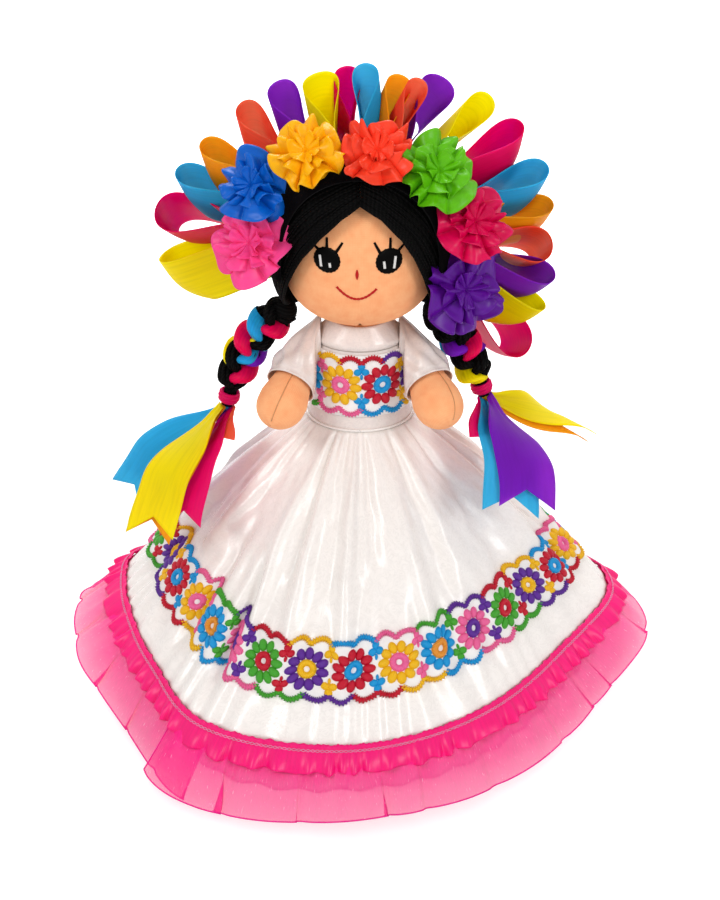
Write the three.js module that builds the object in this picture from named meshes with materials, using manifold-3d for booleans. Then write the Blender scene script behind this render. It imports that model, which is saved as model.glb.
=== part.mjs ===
// Otomi cloth doll in a gathered dress, with a crown of ribbon loops and rosettes over yarn braids.
// Millimetres, +Z up. The doll faces -Y, and left and right are the doll's own.
// An azimuth is measured round the doll from its front, towards its left.
import * as THREE from 'three';
import Module from 'manifold-3d';

const wasm = await Module();
wasm.setup();
const { lerp, clamp, smoothstep, degToRad } = THREE.MathUtils;

// Clearances
const seamGap = 0.3; // between pieces that are sewn or laid together
const layerStep = 1.8; // from one ribbon tail to the next at the tie

// Stuffed body
const waistHeight = 171;
const bodiceHeight = 72; // waist seam to the top of the collar
const waistWidth = 68;
const waistDepth = 54;
const chestWidth = 57;
const chestDepth = 47;
const chestDrop = 43; // collar to the narrowest part of the chest
const shoulderWidth = 57;
const shoulderDrop = 12; // collar to the shoulder
const neckWidth = 34;
const hipWidth = 66;
const hipDepth = 52;
const seatWidth = 50;
const seatDepth = 36;
const hipDrop = 24; // waist seam to the fullest part of the hips
const torsoSides = 24;

// Legs
const legDiameter = 30;
const kneeDiameter = 26;
const footDiameter = 32;
const legSpacing = 34;
const hipPivotHeight = 112;
const footRise = 10;
const footForward = 4;
const soleClearance = 1; // the soles hang just clear of the floor

// Arms and sleeves
const armLength = 68; // shoulder pivot to the fingertip
const armOutward = 27; // how far the fingertip stands out, forward and down from the shoulder
const armForward = 54;
const armPivotDrop = 20; // collar to the shoulder pivot
const armDiameter = 27;
const handDiameter = 32;
const handRun = 47; // shoulder pivot to the fullest part of the hand
const sleeveRun = 37;
const sleeveFlare = 2.2;
const sleeveThickness = 1.4;

// Bodice
const bodiceThickness = 1.4;
const bodiceTrimTop = 17; // collar to the top edge of the trim
const bodiceTrimWidth = 44;
const bodiceTrimReach = 60; // degrees of azimuth to each side
const trimThickness = 0.9;
const trimGap = 0.7; // from the folded skirt to the trim sewn over it

// Skirt
const seamHeight = 36; // seam of skirt and ruffle
const seamSide = 178; // its reach from the doll's axis
const seamFront = 180;
const seamBack = 100;
const skirtBulge = 6;
const skirtFolds = 16;
const skirtFoldDepth = 4.5;
const clothThickness = 1.2;
const skirtTrimWidth = 44;
const skirtTrimRise = 28; // seam to the lower edge of the trim, along the cloth

// Ruffle
const hemHeight = 1.6;
const hemSide = 215;
const hemFront = 221;
const hemBack = 115;
const ruffleWaves = 28; // a multiple of four keeps a crest at the front, the back and both sides
const ruffleDepth = 2.6;
const organzaThickness = 0.8;
const satinWidth = 15;
const satinThickness = 0.9;

// Petticoat
const petticoatThickness = 2.4;
const petticoatStart = 0.06; // share of the skirt's run where the petticoat is sewn in
const petticoatSetback = 16; // from the hem's reach to the petticoat's foot

// Head and hair
const headWidth = 100;
const headDepth = 88;
const headHeight = 104;
const cheekHeight = 46; // chin to the widest part
const headSquareness = 2.4; // 2 is an ellipse
const hairThickness = 8;
const hairRise = 12; // chin to the hair's lower edge
const partingHeight = 92; // chin to the point of the parting
const faceWidth = 84;
const faceSideHeight = 29; // chin to where the hair's edges leave the cheeks
const faceSetback = 6; // how far behind the face's front half the opening stops short of the axis

// Crown
const bandGap = 1; // from the round of the hair to the band laid over it
const bandThickness = 2.6;
const bandFront = -31;
const bandBack = 27;
const bandAngles = [-98, 116];
const crownDepth = 19; // depth of the loops' bases behind the doll's axis
const crownTopReach = 100; // head centre to the middle of the top loops' tips
const crownSideReach = 126;
const crownLean = 20; // degrees backwards
const ribbonWidth = 38;
const ribbonThickness = 0.8;
const loopPinch = 10; // ribbon width gathered at a loop's base
const loopFill = 0.75; // opening of a loop over the room between its neighbours' tips
const loopPitch = 34; // degrees by which a loop's front edge runs ahead of its rear edge
const loopRollRate = -0.3; // degrees of roll for each degree round the crown
const loopSeatShare = 0.93; // the loops' seats are closer together on the band than their tips
const loopSeatGap = 0.6; // from the band to the front corners of a loop's base
const loopAngles = [
  -99, -86, -74, -61, -46, -31.5, -17, -6.5, 3.5, 13, 22, 31, 43, 58, 74, 85, 95.5, 105.5, 114.7, 124];
const loopColours = ['yellow', 'crimson', 'sky', 'orange', 'coral', 'purple'];

// Rosettes
const rosetteDiameter = 39.5;
const rosetteHeight = 19;
const rosettePetals = 9;
const rosetteFlute = 1.6;
const rosetteDepth = -20; // depth of their seats on the band
const rosettes = [
  ['pink', -88], ['blue', -55], ['gold', -23], ['coral', 7], ['green', 38], ['magenta', 70], ['purple', 104]];

// Braids and their ribbon tails
const braidSpread = 49; // root of a braid from the doll's axis
const braidDepth = 1;
const braidRootDiameter = 17;
const plaitLobes = 6;
const lobeDiameter = 15;
const lobeOffset = 4;
const plaitCore = 5.5;
const braidEnd = 12; // plain end that the tie binds
const tieLength = 7;
const tieThickness = 2.6;
const tailWidth = 34;
const tailPinch = 8;
const tailSpread = 42; // run in which a tail opens to its full width
const tailTurn = 16; // run in which a tail turns from the tie into the fan
const tailThickness = 0.7;
const tailNotch = 13;
const tailStandOff = 9; // innermost tail above the skirt's mean surface
const tailLift = 2; // from one tail to the next where they lie over the skirt
const tailRun = 126; // tie to the skirt along the middle of a fan of tails
const tailBow = 9; // how far the fan bows out
// Tails are listed from the skirt outwards: colour, angle in the fan and length
const braids = [
  {
    side: 'right', sign: -1, reach: 41, drop: 72, bow: 6, azimuth: 74,
    tails: [
      ['coral', -31, 52], ['crimson', -19, 92], ['purple', 30, 88], ['orange', 6, 112],
      ['yellow', 2, 114], ['sky', 22, 98]],
  },
  {
    side: 'left', sign: 1, reach: 35, drop: 64, bow: 3, azimuth: 68,
    tails: [
      ['crimson', -36, 38], ['sky', -20, 92], ['orange', 42, 74], ['yellow', 50, 80], ['purple', -13, 90]],
  },
];

// Colours
const palette = {
  skin: '#fdb184', hair: '#0c0a0b', felt: '#141114', white: '#f7f2ee', tulle: '#f4eff0', hotPink: '#ff1e8e',
  organza: '#ff4fa8', yellow: '#ffe600', crimson: '#d6004c', sky: '#48ade0', orange: '#ff9a10',
  coral: '#ff5a3c', purple: '#6a14a8', gold: '#ffc20e', blue: '#0a7fe0', pink: '#f2408f', green: '#4db31e',
  magenta: '#d80f7a',
};

// Worked-out heights and reaches
const collarHeight = waistHeight + bodiceHeight;
const headBottom = collarHeight + seamGap;
const headCentre = headBottom + cheekHeight;
const bodiceOffset = seamGap + bodiceThickness;
const waistReach = { side: waistWidth / 2 + bodiceOffset, depth: waistDepth / 2 + bodiceOffset };
const bandOffset = hairThickness + bandGap + bandThickness;
const braidRootHeight = headBottom + hairRise - seamGap - braidRootDiameter / 2;
const seatHeight = hipPivotHeight + legDiameter / 2 + seamGap;

// Closed bodies

function closedBody(points, triangles) {
  let volume = 0;
  for (let i = 0; i < triangles.length; i += 3) {
    const [a, b, c] = [points[triangles[i]], points[triangles[i + 1]], points[triangles[i + 2]]];
    volume += a.dot(b.clone().cross(c));
  }
  const geometry = new THREE.BufferGeometry();
  const coordinates = points.flatMap((point) => point.toArray());
  geometry.setAttribute('position', new THREE.Float32BufferAttribute(coordinates, 3));
  geometry.setIndex(volume < 0 ? triangles.slice().reverse() : triangles);
  return geometry;
}

function addQuad(triangles, a, b, c, d) {
  triangles.push(a, b, c, a, c, d);
}

// A skin over rings of points, closed by a fan at each end.
function loft(rings) {
  const count = rings[0].length;
  const points = rings.flat();
  const triangles = [];
  for (let r = 0; r + 1 < rings.length; r += 1) {
    for (let i = 0; i < count; i += 1) {
      const j = (i + 1) % count;
      addQuad(triangles, r * count + i, r * count + j, (r + 1) * count + j, (r + 1) * count + i);
    }
  }
  const ends = [[0, true], [rings.length - 1, false]];
  for (const [r, first] of ends) {
    const centre = points.length;
    const sum = rings[r].reduce((total, point) => total.add(point), new THREE.Vector3());
    points.push(sum.divideScalar(count));
    for (let i = 0; i < count; i += 1) {
      const [a, b] = [r * count + i, r * count + ((i + 1) % count)];
      triangles.push(first ? b : a, first ? a : b, centre);
    }
  }
  return closedBody(points, triangles);
}

// Cloth between two surfaces of (u, v), each from 0 to 1, open or closed round u.
function sheet(top, bottom, columns, rows, closed = false) {
  const width = closed ? columns : columns + 1;
  const points = [];
  for (const side of [top, bottom]) {
    for (let j = 0; j <= rows; j += 1) {
      for (let i = 0; i < width; i += 1) points.push(side(i / columns, j / rows));
    }
  }
  const layer = width * (rows + 1);
  const at = (k, i, j) => k * layer + j * width + (i % width);
  const triangles = [];
  for (let j = 0; j < rows; j += 1) {
    for (let i = 0; i < columns; i += 1) {
      addQuad(triangles, at(0, i, j), at(0, i + 1, j), at(0, i + 1, j + 1), at(0, i, j + 1));
      addQuad(triangles, at(1, i, j), at(1, i, j + 1), at(1, i + 1, j + 1), at(1, i + 1, j));
    }
  }
  for (let i = 0; i < columns; i += 1) {
    addQuad(triangles, at(0, i + 1, 0), at(0, i, 0), at(1, i, 0), at(1, i + 1, 0));
    addQuad(triangles, at(0, i, rows), at(0, i + 1, rows), at(1, i + 1, rows), at(1, i, rows));
  }
  for (let j = 0; j < rows && !closed; j += 1) {
    addQuad(triangles, at(0, 0, j), at(0, 0, j + 1), at(1, 0, j + 1), at(1, 0, j));
    addQuad(triangles, at(0, columns, j + 1), at(0, columns, j), at(1, columns, j), at(1, columns, j + 1));
  }
  return closedBody(points, triangles);
}

// A surface moved along its own normal.
function lifted(surface, distance) {
  const step = 1e-3;
  return (u, v) => {
    const across = surface(u + step, v).sub(surface(u - step, v));
    const along = surface(u, v + step).sub(surface(u, v - step));
    return surface(u, v).addScaledVector(along.cross(across).normalize(), distance);
  };
}

function solidOf(geometry) {
  const vertProperties = Float32Array.from(geometry.getAttribute('position').array);
  const triVerts = Uint32Array.from(geometry.index.array);
  return new wasm.Manifold(new wasm.Mesh({ numProp: 3, vertProperties, triVerts }));
}

function cut(geometry, ...tools) {
  const solid = tools.reduce((rest, tool) => rest.subtract(solidOf(tool)), solidOf(geometry));
  const mesh = solid.getMesh();
  const result = new THREE.BufferGeometry();
  result.setAttribute('position', new THREE.Float32BufferAttribute(Float32Array.from(mesh.vertProperties), 3));
  result.setIndex(Array.from(mesh.triVerts));
  return result;
}

function boxBetween(low, high) {
  const [a, b] = [new THREE.Vector3(...low), new THREE.Vector3(...high)];
  const corners = [[0, 0], [1, 0], [1, 1], [0, 1]];
  const ring = (z) => corners.map(([i, j]) => new THREE.Vector3(i ? b.x : a.x, j ? b.y : a.y, z));
  return loft([ring(a.z), ring(b.z)]);
}

function oval(width, depth, height, sides) {
  return Array.from({ length: sides }, (_, i) => {
    const angle = (2 * Math.PI * i) / sides;
    return new THREE.Vector3((width / 2) * Math.sin(angle), (-depth / 2) * Math.cos(angle), height);
  });
}

// Values of a list of [place, ...values] stations at a place between them.
function between(stations, place) {
  const last = stations.length - 2;
  const i = clamp(stations.findIndex((station) => station[0] >= place) - 1, 0, last);
  const [low, high] = [stations[i], stations[i + 1]];
  const t = smoothstep(place, low[0], high[0]);
  return low.map((value, k) => lerp(value, high[k], t));
}

const doll = new THREE.Group();

function addPiece(name, geometry, colour, roughness = 0.8) {
  const material = new THREE.MeshStandardMaterial({ color: palette[colour], roughness, metalness: 0 });
  const mesh = new THREE.Mesh(geometry, material);
  mesh.name = name;
  doll.add(mesh);
}

// Torso, which swells at the hips and narrows to the chest
const torsoStations = [
  [seatHeight, seatWidth, seatDepth],
  [waistHeight - hipDrop, hipWidth, hipDepth],
  [waistHeight, waistWidth, waistDepth],
  [collarHeight - chestDrop, chestWidth, chestDepth],
  [collarHeight - shoulderDrop, shoulderWidth, chestDepth],
  [collarHeight, neckWidth, neckWidth],
];

// Rings at the stations and halfway between them, which every layer over the torso follows.
const torsoRings = torsoStations.flatMap((station, i) => {
  const next = torsoStations[i + 1];
  return next ? [station, between(torsoStations, (station[0] + next[0]) / 2)] : [station];
});

function addTorso() {
  const rings = torsoRings.map(([height, width, depth]) => oval(width, depth, height, torsoSides));
  addPiece('torso', loft(rings), 'skin');
}

// A layer round the torso between two heights and two azimuths, a stated distance off its skin.
function torsoLayer(low, high, turns, offset) {
  const heights = [low, ...torsoRings.map(([height]) => height).filter((h) => h > low && h < high), high];
  const surface = (u, v) => {
    const height = heights[Math.round(v * (heights.length - 1))];
    const i = torsoRings.findIndex((ring) => ring[0] >= height);
    const [below, above] = [torsoRings[Math.max(i - 1, 0)], torsoRings[Math.max(i, 1)]];
    const t = (height - below[0]) / (above[0] - below[0]);
    const azimuth = lerp(...turns, u);
    const side = lerp(below[1], above[1], t) / 2 + offset;
    const front = lerp(below[2], above[2], t) / 2 + offset;
    return new THREE.Vector3(side * Math.sin(azimuth), -front * Math.cos(azimuth), height);
  };
  return { surface, rows: heights.length - 1 };
}

function addBodice() {
  const wall = (offset) =>
    torsoLayer(waistHeight + seamGap, collarHeight - seamGap, [0, 2 * Math.PI], offset);
  const [outer, inner] = [wall(bodiceOffset), wall(seamGap)];
  addPiece('bodice', sheet(outer.surface, inner.surface, torsoSides, outer.rows, true), 'white');
  const step = (2 * Math.PI) / torsoSides;
  const reach = step * Math.round(degToRad(bodiceTrimReach) / step);
  const top = collarHeight - bodiceTrimTop;
  const base = bodiceOffset + seamGap;
  const band = (offset) => torsoLayer(top - bodiceTrimWidth, top, [-reach, reach], offset);
  const [face, lining] = [band(base + trimThickness), band(base)];
  const columns = Math.round((2 * reach) / step);
  addPiece('bodice_trim', sheet(face.surface, lining.surface, columns, face.rows), 'white');
}

// Legs, round at the hip so that they swing
function addLeg(side, sign) {
  const radius = legDiameter / 2;
  const stations = [
    [soleClearance, footDiameter * 0.86, footForward],
    [soleClearance + footRise / 2, footDiameter, footForward],
    [soleClearance + footRise, footDiameter, footForward],
    [soleClearance + 2.4 * footRise, kneeDiameter, 0],
    [(hipPivotHeight + soleClearance) / 2, kneeDiameter, 0],
    [hipPivotHeight, legDiameter, 0],
  ];
  const rings = stations.map(([height, width, forward]) =>
    oval(width, width, height, 14).map((point) => point.add(new THREE.Vector3(0, -forward, 0))));
  for (const angle of [30, 60, 82]) {
    const turn = degToRad(angle);
    const width = legDiameter * Math.cos(turn);
    rings.push(oval(width, width, hipPivotHeight + radius * Math.sin(turn), 14));
  }
  const geometry = loft(rings);
  geometry.translate((sign * legSpacing) / 2, 0, 0);
  addPiece(`${side}_leg`, geometry, 'skin');
}

// Arms with swollen hands, and short sleeves round them
const shoulderReach = shoulderWidth / 2 + bodiceOffset + seamGap;

function armFrame(sign) {
  const down = Math.sqrt(armLength ** 2 - armOutward ** 2 - armForward ** 2);
  const direction = new THREE.Vector3(sign * armOutward, -armForward, -down).normalize();
  const turn = new THREE.Quaternion().setFromUnitVectors(new THREE.Vector3(0, 0, 1), direction);
  const pivot = new THREE.Vector3(sign * shoulderReach, 0, collarHeight - armPivotDrop);
  return new THREE.Matrix4().compose(pivot, turn, new THREE.Vector3(1, 1, 1));
}

const armStations = [
  [-armLength / 2, armDiameter],
  [0, armDiameter],
  [sleeveRun, armDiameter],
  [handRun, handDiameter],
  [armLength, 0],
];

function armWidth(run) {
  if (run <= handRun) return between(armStations, run)[1];
  return handDiameter * Math.sqrt(1 - ((run - handRun) / (armLength - handRun)) ** 2);
}

function addArm(side, sign) {
  const tip = [0.45, 0.75, 0.92, 0.985].map((share) => lerp(handRun, armLength, share));
  const runs = [-armLength / 2, 0, sleeveRun / 2, sleeveRun, (sleeveRun + handRun) / 2, handRun, ...tip];
  const arm = loft(runs.map((run) => oval(armWidth(run), armWidth(run), run, 16)));
  const wall = (offset) => (u, v) => {
    const run = lerp(-armLength / 2, sleeveRun, v);
    const radius = armWidth(run) / 2 + seamGap + offset + sleeveFlare * smoothstep(run, 0, sleeveRun);
    return new THREE.Vector3(radius * Math.sin(2 * Math.PI * u), -radius * Math.cos(2 * Math.PI * u), run);
  };
  const sleeve = sheet(wall(sleeveThickness), wall(0), 16, 5, true);
  const frame = armFrame(sign);
  const inside = sign * (shoulderReach - 2 * armLength);
  const edge = sign * shoulderReach;
  const low = [Math.min(inside, edge), -armLength, collarHeight - 2 * armLength];
  const high = [Math.max(inside, edge), armLength, collarHeight + armLength];
  const torsoSide = boxBetween(low, high);
  addPiece(`${side}_arm`, cut(arm.applyMatrix4(frame), torsoSide), 'skin');
  addPiece(`${side}_sleeve`, cut(sleeve.applyMatrix4(frame), torsoSide), 'white');
}

// Skirt: an oval cone with gathers that die away at the waist and at the ruffle's seam
function outline(azimuth, side, front, back) {
  const depth = Math.cos(azimuth) > 0 ? front : back;
  return new THREE.Vector3(side * Math.sin(azimuth), -depth * Math.cos(azimuth), 0);
}

function skirtMean(azimuth, s, inset = 0) {
  const swell = skirtBulge * Math.sin(Math.PI * clamp(s, 0, 1)) - inset;
  const side = lerp(waistReach.side, seamSide, s) + swell;
  const front = lerp(waistReach.depth, seamFront, s) + swell;
  const back = lerp(waistReach.depth, seamBack, s) + swell;
  return outline(azimuth, side, front, back).setZ(lerp(waistHeight, seamHeight, s));
}

function skirtSurface(u, s) {
  const azimuth = 2 * Math.PI * u;
  const fold = skirtFoldDepth * Math.sin(Math.PI * s) * Math.cos(skirtFolds * azimuth);
  return skirtMean(azimuth, s, -fold);
}

// Share of the skirt's run at a distance above the seam, along the cloth.
function shareAboveSeam(u, distance) {
  const azimuth = 2 * Math.PI * u;
  return 1 - distance / skirtMean(azimuth, 0).distanceTo(skirtMean(azimuth, 1));
}

function addSkirt() {
  addPiece('skirt', sheet(skirtSurface, lifted(skirtSurface, -clothThickness), 96, 5, true), 'white', 0.5);
  const trim = (u, v) => {
    const distance = lerp(skirtTrimRise + skirtTrimWidth, skirtTrimRise, v);
    return skirtSurface(u, shareAboveSeam(u, distance));
  };
  const [inner, outer] = [trimGap, trimGap + trimThickness];
  addPiece('skirt_trim', sheet(lifted(trim, outer), lifted(trim, inner), 96, 2, true), 'white');
}

// Ruffle: an organza flounce with a satin header over its upper edge
function ruffleSurface(u, q) {
  const azimuth = 2 * Math.PI * u;
  const wave = ruffleDepth * q * (Math.cos(ruffleWaves * azimuth) - 1);
  const [side, front] = [lerp(seamSide, hemSide, q), lerp(seamFront, hemFront, q)];
  const back = lerp(seamBack, hemBack, q);
  return outline(azimuth, side + wave, front + wave, back + wave).setZ(lerp(seamHeight, hemHeight, q));
}

function addRuffle() {
  const slant = Math.hypot(hemFront - seamFront, seamHeight - hemHeight);
  const start = (2 * seamGap) / slant;
  const flounce = (u, v) => ruffleSurface(u, lerp(start, 1, v));
  const half = organzaThickness / 2;
  const organza = sheet(lifted(flounce, half), lifted(flounce, -half), 112, 2, true);
  addPiece('ruffle_organza', organza, 'organza', 0.6);
  const header = (u, v) => ruffleSurface(u, lerp(2 * start, satinWidth / slant, v));
  const base = half + seamGap;
  const satin = sheet(lifted(header, base + satinThickness), lifted(header, base), 112, 1, true);
  addPiece('ruffle_satin', satin, 'hotPink', 0.4);
}

// Petticoat: follows the inside of the gathers, then runs down to a flat foot on the floor
function addPetticoat() {
  const lining = 1.6 * clothThickness + seamGap;
  const inset = (s) => lining + skirtFoldDepth * Math.sin(Math.PI * s);
  const wall = (thickness) => (u, v) => {
    const azimuth = 2 * Math.PI * u;
    const seamShare = 0.75; // three rows follow the skirt and one the ruffle
    const s = lerp(petticoatStart, 1, Math.min(v / seamShare, 1));
    const upper = skirtMean(azimuth, s, inset(s) + thickness);
    const back = petticoatSetback + thickness;
    const foot = outline(azimuth, hemSide - back, hemFront - back, hemBack - back);
    return upper.lerp(foot, Math.max((v - seamShare) / (1 - seamShare), 0));
  };
  addPiece('petticoat', sheet(wall(0), wall(petticoatThickness), 48, 4, true), 'tulle');
}

// Head: a revolved pillow shape, wider than deep
function headHalfHeight(above, offset) {
  return (above ? headHeight - cheekHeight : cheekHeight) + offset;
}

// Latitude below which the head is cut flat at the neck.
const neckLatitude = -Math.acos((neckWidth / headWidth) ** (headSquareness / 2));
const topLatitude = degToRad(88);
const headLevels = 12;
const headSides = 28;

function headRings(offset) {
  const rings = [];
  for (let i = 0; i <= headLevels; i += 1) {
    const latitude = lerp(neckLatitude, topLatitude, i / headLevels);
    const reach = Math.cos(latitude) ** (2 / headSquareness);
    const sine = Math.sin(latitude);
    const rise = Math.sign(sine) * Math.abs(sine) ** (2 / headSquareness);
    const height = headCentre + rise * headHalfHeight(sine > 0, offset);
    rings.push(oval((headWidth + 2 * offset) * reach, (headDepth + 2 * offset) * reach, height, headSides));
  }
  return rings;
}

function addHead() {
  const rings = headRings(0);
  rings[0].forEach((point) => point.setZ(headBottom));
  addPiece('head', loft(rings), 'skin');
}

function addHair() {
  const wide = headWidth;
  const chin = headBottom;
  const opening = (depth) => [
    [0, chin + partingHeight], [faceWidth / 2, chin + faceSideHeight], [faceWidth / 2, chin - wide],
    [-faceWidth / 2, chin - wide], [-faceWidth / 2, chin + faceSideHeight],
  ].map(([x, z]) => new THREE.Vector3(x, depth, z));
  const face = loft([opening(-wide), opening(-faceSetback)]);
  const below = boxBetween([-wide, -wide, chin - wide], [wide, wide, chin + hairRise]);
  const [outer, inner] = [loft(headRings(hairThickness)), loft(headRings(seamGap))];
  addPiece('hair_cap', cut(outer, inner, face, below), 'hair', 0.6);
}

// Point of the grown head where a ray in the plane of depth y leaves it, at an angle from straight up.
function headSurface(angle, y, offset) {
  const [wide, deep] = [headWidth / 2 + offset, headDepth / 2 + offset];
  const turn = degToRad(angle);
  const point = (reach) => new THREE.Vector3(reach * Math.sin(turn), y, headCentre + reach * Math.cos(turn));
  const inside = (p) => {
    const rise = p.z - headCentre;
    const high = headHalfHeight(rise > 0, offset);
    const round = Math.hypot(p.x / wide, p.y / deep) ** headSquareness;
    return round + (Math.abs(rise) / high) ** headSquareness < 1;
  };
  let [low, high] = [0, 2 * headHeight];
  for (let i = 0; i < 40; i += 1) {
    const middle = (low + high) / 2;
    if (inside(point(middle))) low = middle;
    else high = middle;
  }
  return point(low);
}

function headNormal(angle, y, offset) {
  const step = 0.5;
  const along = headSurface(angle + step, y, offset).sub(headSurface(angle - step, y, offset));
  const across = headSurface(angle, y + step, offset).sub(headSurface(angle, y - step, offset));
  return along.cross(across).normalize();
}

function addBand() {
  const face = (offset) => (u, v) =>
    headSurface(lerp(...bandAngles, u), lerp(bandFront, bandBack, v), offset);
  addPiece('crown_band', sheet(face(bandOffset), face(hairThickness + bandGap), 26, 4), 'felt', 0.9);
}

// Ribbon loops: a teardrop of ribbon, gathered at its base and spread at its tip
function loopGeometry(angle, room) {
  const turn = degToRad(angle);
  const reach = lerp(crownTopReach, crownSideReach, Math.sin(turn) ** 4);
  const lean = degToRad(crownLean);
  const roll = degToRad(loopRollRate * angle);
  const opening = loopFill * reach * degToRad(room) * Math.cos(roll);
  const pitch = degToRad(loopPitch);
  const halfPinch = (loopPinch / 2) * Math.cos(pitch);
  const seat = headSurface(angle * loopSeatShare, crownDepth - halfPinch, bandOffset + loopSeatGap);
  const rise = reach - Math.hypot(seat.x, seat.z - headCentre);
  const tipDepth = crownDepth + rise * Math.tan(lean);
  const tip = new THREE.Vector3(
    reach * Math.sin(turn), tipDepth, headCentre + reach * Math.cos(turn));
  const length = seat.distanceTo(tip);
  const out = tip.sub(new THREE.Vector3(seat.x, crownDepth, seat.z)).normalize();
  const round = new THREE.Vector3(0, 1, 0).cross(out).normalize();
  const back = out.clone().cross(round);
  const open = round.clone().multiplyScalar(Math.cos(roll)).addScaledVector(back, Math.sin(roll));
  const wide = back.clone().multiplyScalar(Math.cos(roll)).addScaledVector(round, -Math.sin(roll));
  const base = seat.addScaledVector(wide, halfPinch);
  const endGap = ribbonThickness / 2 + seamGap / 2;
  const ribbon = (u, v) => {
    const t = 2 * Math.PI * u;
    const height = (length * (1 - Math.cos(t))) / 2;
    const share = Math.abs(Math.sin(t / 2));
    const swell = 1.3 * Math.sin(t) * share ** 1.6;
    const spread = lerp(loopPinch, ribbonWidth, share ** 0.8) * (v - 0.5);
    const aside = (opening / 2) * swell + endGap * (1 - 2 * u);
    return base.clone().addScaledVector(out, height - spread * Math.sin(pitch) * share)
      .addScaledVector(open, aside).addScaledVector(wide, spread * Math.cos(pitch));
  };
  const half = ribbonThickness / 2;
  return sheet(lifted(ribbon, half), lifted(ribbon, -half), 14, 1);
}

function addLoops() {
  const last = loopAngles.length - 1;
  loopAngles.forEach((angle, i) => {
    const name = `ribbon_loop_${String(i + 1).padStart(2, '0')}`;
    const before = i > 0 ? angle - loopAngles[i - 1] : Infinity;
    const after = i < last ? loopAngles[i + 1] - angle : Infinity;
    const geometry = loopGeometry(angle, Math.min(before, after));
    addPiece(name, geometry, loopColours[i % loopColours.length], 0.35);
  });
}

// Rosettes: gathered satin domes with fluted petals, seated on the band
function rosetteGeometry() {
  const sides = 3 * rosettePetals;
  const ring = (share, rise) => Array.from({ length: sides }, (_, i) => {
    const angle = (2 * Math.PI * i) / sides;
    const petal = Math.cos(rosettePetals * angle) * share;
    const radius = (rosetteDiameter / 2 - rosetteFlute / 2) * share + (rosetteFlute / 2) * petal;
    const lift = rise ? rise + rosetteFlute * petal : 0;
    return new THREE.Vector3(radius * Math.cos(angle), radius * Math.sin(angle), lift);
  });
  const dome = [[0.55, 0], [1, 0.42], [0.78, 0.8], [0.34, 0.97]];
  return loft(dome.map(([share, rise]) => ring(share, rise * rosetteHeight)));
}

function addRosettes() {
  for (const [colour, angle] of rosettes) {
    const seat = headSurface(angle, rosetteDepth, bandOffset);
    const normal = headNormal(angle, rosetteDepth, bandOffset);
    const turn = new THREE.Quaternion().setFromUnitVectors(new THREE.Vector3(0, 0, 1), normal);
    const place = seat.addScaledVector(normal, seamGap);
    const geometry = rosetteGeometry();
    geometry.applyMatrix4(new THREE.Matrix4().compose(place, turn, new THREE.Vector3(1, 1, 1)));
    addPiece(`rosette_${colour}`, geometry, colour, 0.4);
  }
}

// Braids: lobes to the left and right in turn along a bowed path
function braidPath({ sign, reach, drop, bow }) {
  const root = new THREE.Vector3(sign * braidSpread, braidDepth, braidRootHeight);
  const end = new THREE.Vector3(sign * (braidSpread + reach), braidDepth, braidRootHeight - drop);
  const middle = root.clone().lerp(end, 0.5).add(new THREE.Vector3(sign * 2 * bow, 0, 2 * bow));
  return new THREE.QuadraticBezierCurve3(root, middle, end);
}

function plaitRadius(along, angle, length) {
  const pitch = length / plaitLobes;
  let reach = plaitCore;
  for (let k = 0; k < plaitLobes; k += 1) {
    const offset = k % 2 ? lobeOffset : -lobeOffset;
    const run = (along - (k + 0.5) * pitch) / (1.1 * pitch);
    const radius = (lobeDiameter / 2) * Math.sqrt(Math.max(1 - run * run, 0));
    const across = offset * Math.sin(angle);
    if (Math.abs(across) >= radius) continue;
    reach = Math.max(reach, offset * Math.cos(angle) + Math.sqrt(radius * radius - across * across));
  }
  return reach;
}

function braidRing(path, along, radiusAt, sides) {
  const t = along / path.getLength();
  const centre = path.getPoint(Math.max(t, 0));
  const tangent = path.getTangent(Math.max(t, 0));
  centre.addScaledVector(tangent, Math.min(along, 0));
  const depth = new THREE.Vector3(0, 1, 0);
  const across = tangent.clone().cross(depth).normalize();
  return Array.from({ length: sides }, (_, i) => {
    const angle = (2 * Math.PI * i) / sides;
    const radius = radiusAt(angle);
    return centre.clone().addScaledVector(across, radius * Math.cos(angle))
      .addScaledVector(depth, radius * Math.sin(angle));
  });
}

function addBraid(braid) {
  const path = braidPath(braid);
  const length = path.getLength();
  const plaited = length - braidEnd;
  const rootRadius = braidRootDiameter / 2;
  const sides = 10;
  const rings = [];
  for (const angle of [80, 55, 28]) {
    const turn = degToRad(angle);
    const radius = rootRadius * Math.cos(turn);
    rings.push(braidRing(path, -rootRadius * Math.sin(turn), () => radius, sides));
  }
  const steps = 2 * plaitLobes;
  for (let i = 0; i < steps; i += 1) {
    const along = (plaited * i) / steps;
    const nearRoot = i === 0 ? () => rootRadius : (angle) => plaitRadius(along, angle, plaited);
    rings.push(braidRing(path, along, nearRoot, sides));
  }
  for (const along of [plaited, length]) rings.push(braidRing(path, along, () => plaitCore, sides));
  addPiece(`${braid.side}_braid`, loft(rings), 'hair', 0.6);
  const bore = plaitCore + seamGap;
  const tieStart = length - (braidEnd + tieLength) / 2;
  const band = (thickness) => (u, v) => {
    const bulge = thickness * (0.6 + 0.4 * Math.sin(Math.PI * v));
    const along = tieStart + tieLength * v;
    const [t, angle] = [along / length, 2 * Math.PI * u];
    const tangent = path.getTangent(t);
    const depth = new THREE.Vector3(0, 1, 0);
    const across = tangent.clone().cross(depth).normalize();
    return path.getPoint(t).addScaledVector(across, (bore + bulge) * Math.cos(angle))
      .addScaledVector(depth, (bore + bulge) * Math.sin(angle));
  };
  addPiece(`${braid.side}_braid_tie`, sheet(band(tieThickness), band(0), 14, 2, true), 'magenta', 0.4);
}

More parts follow.
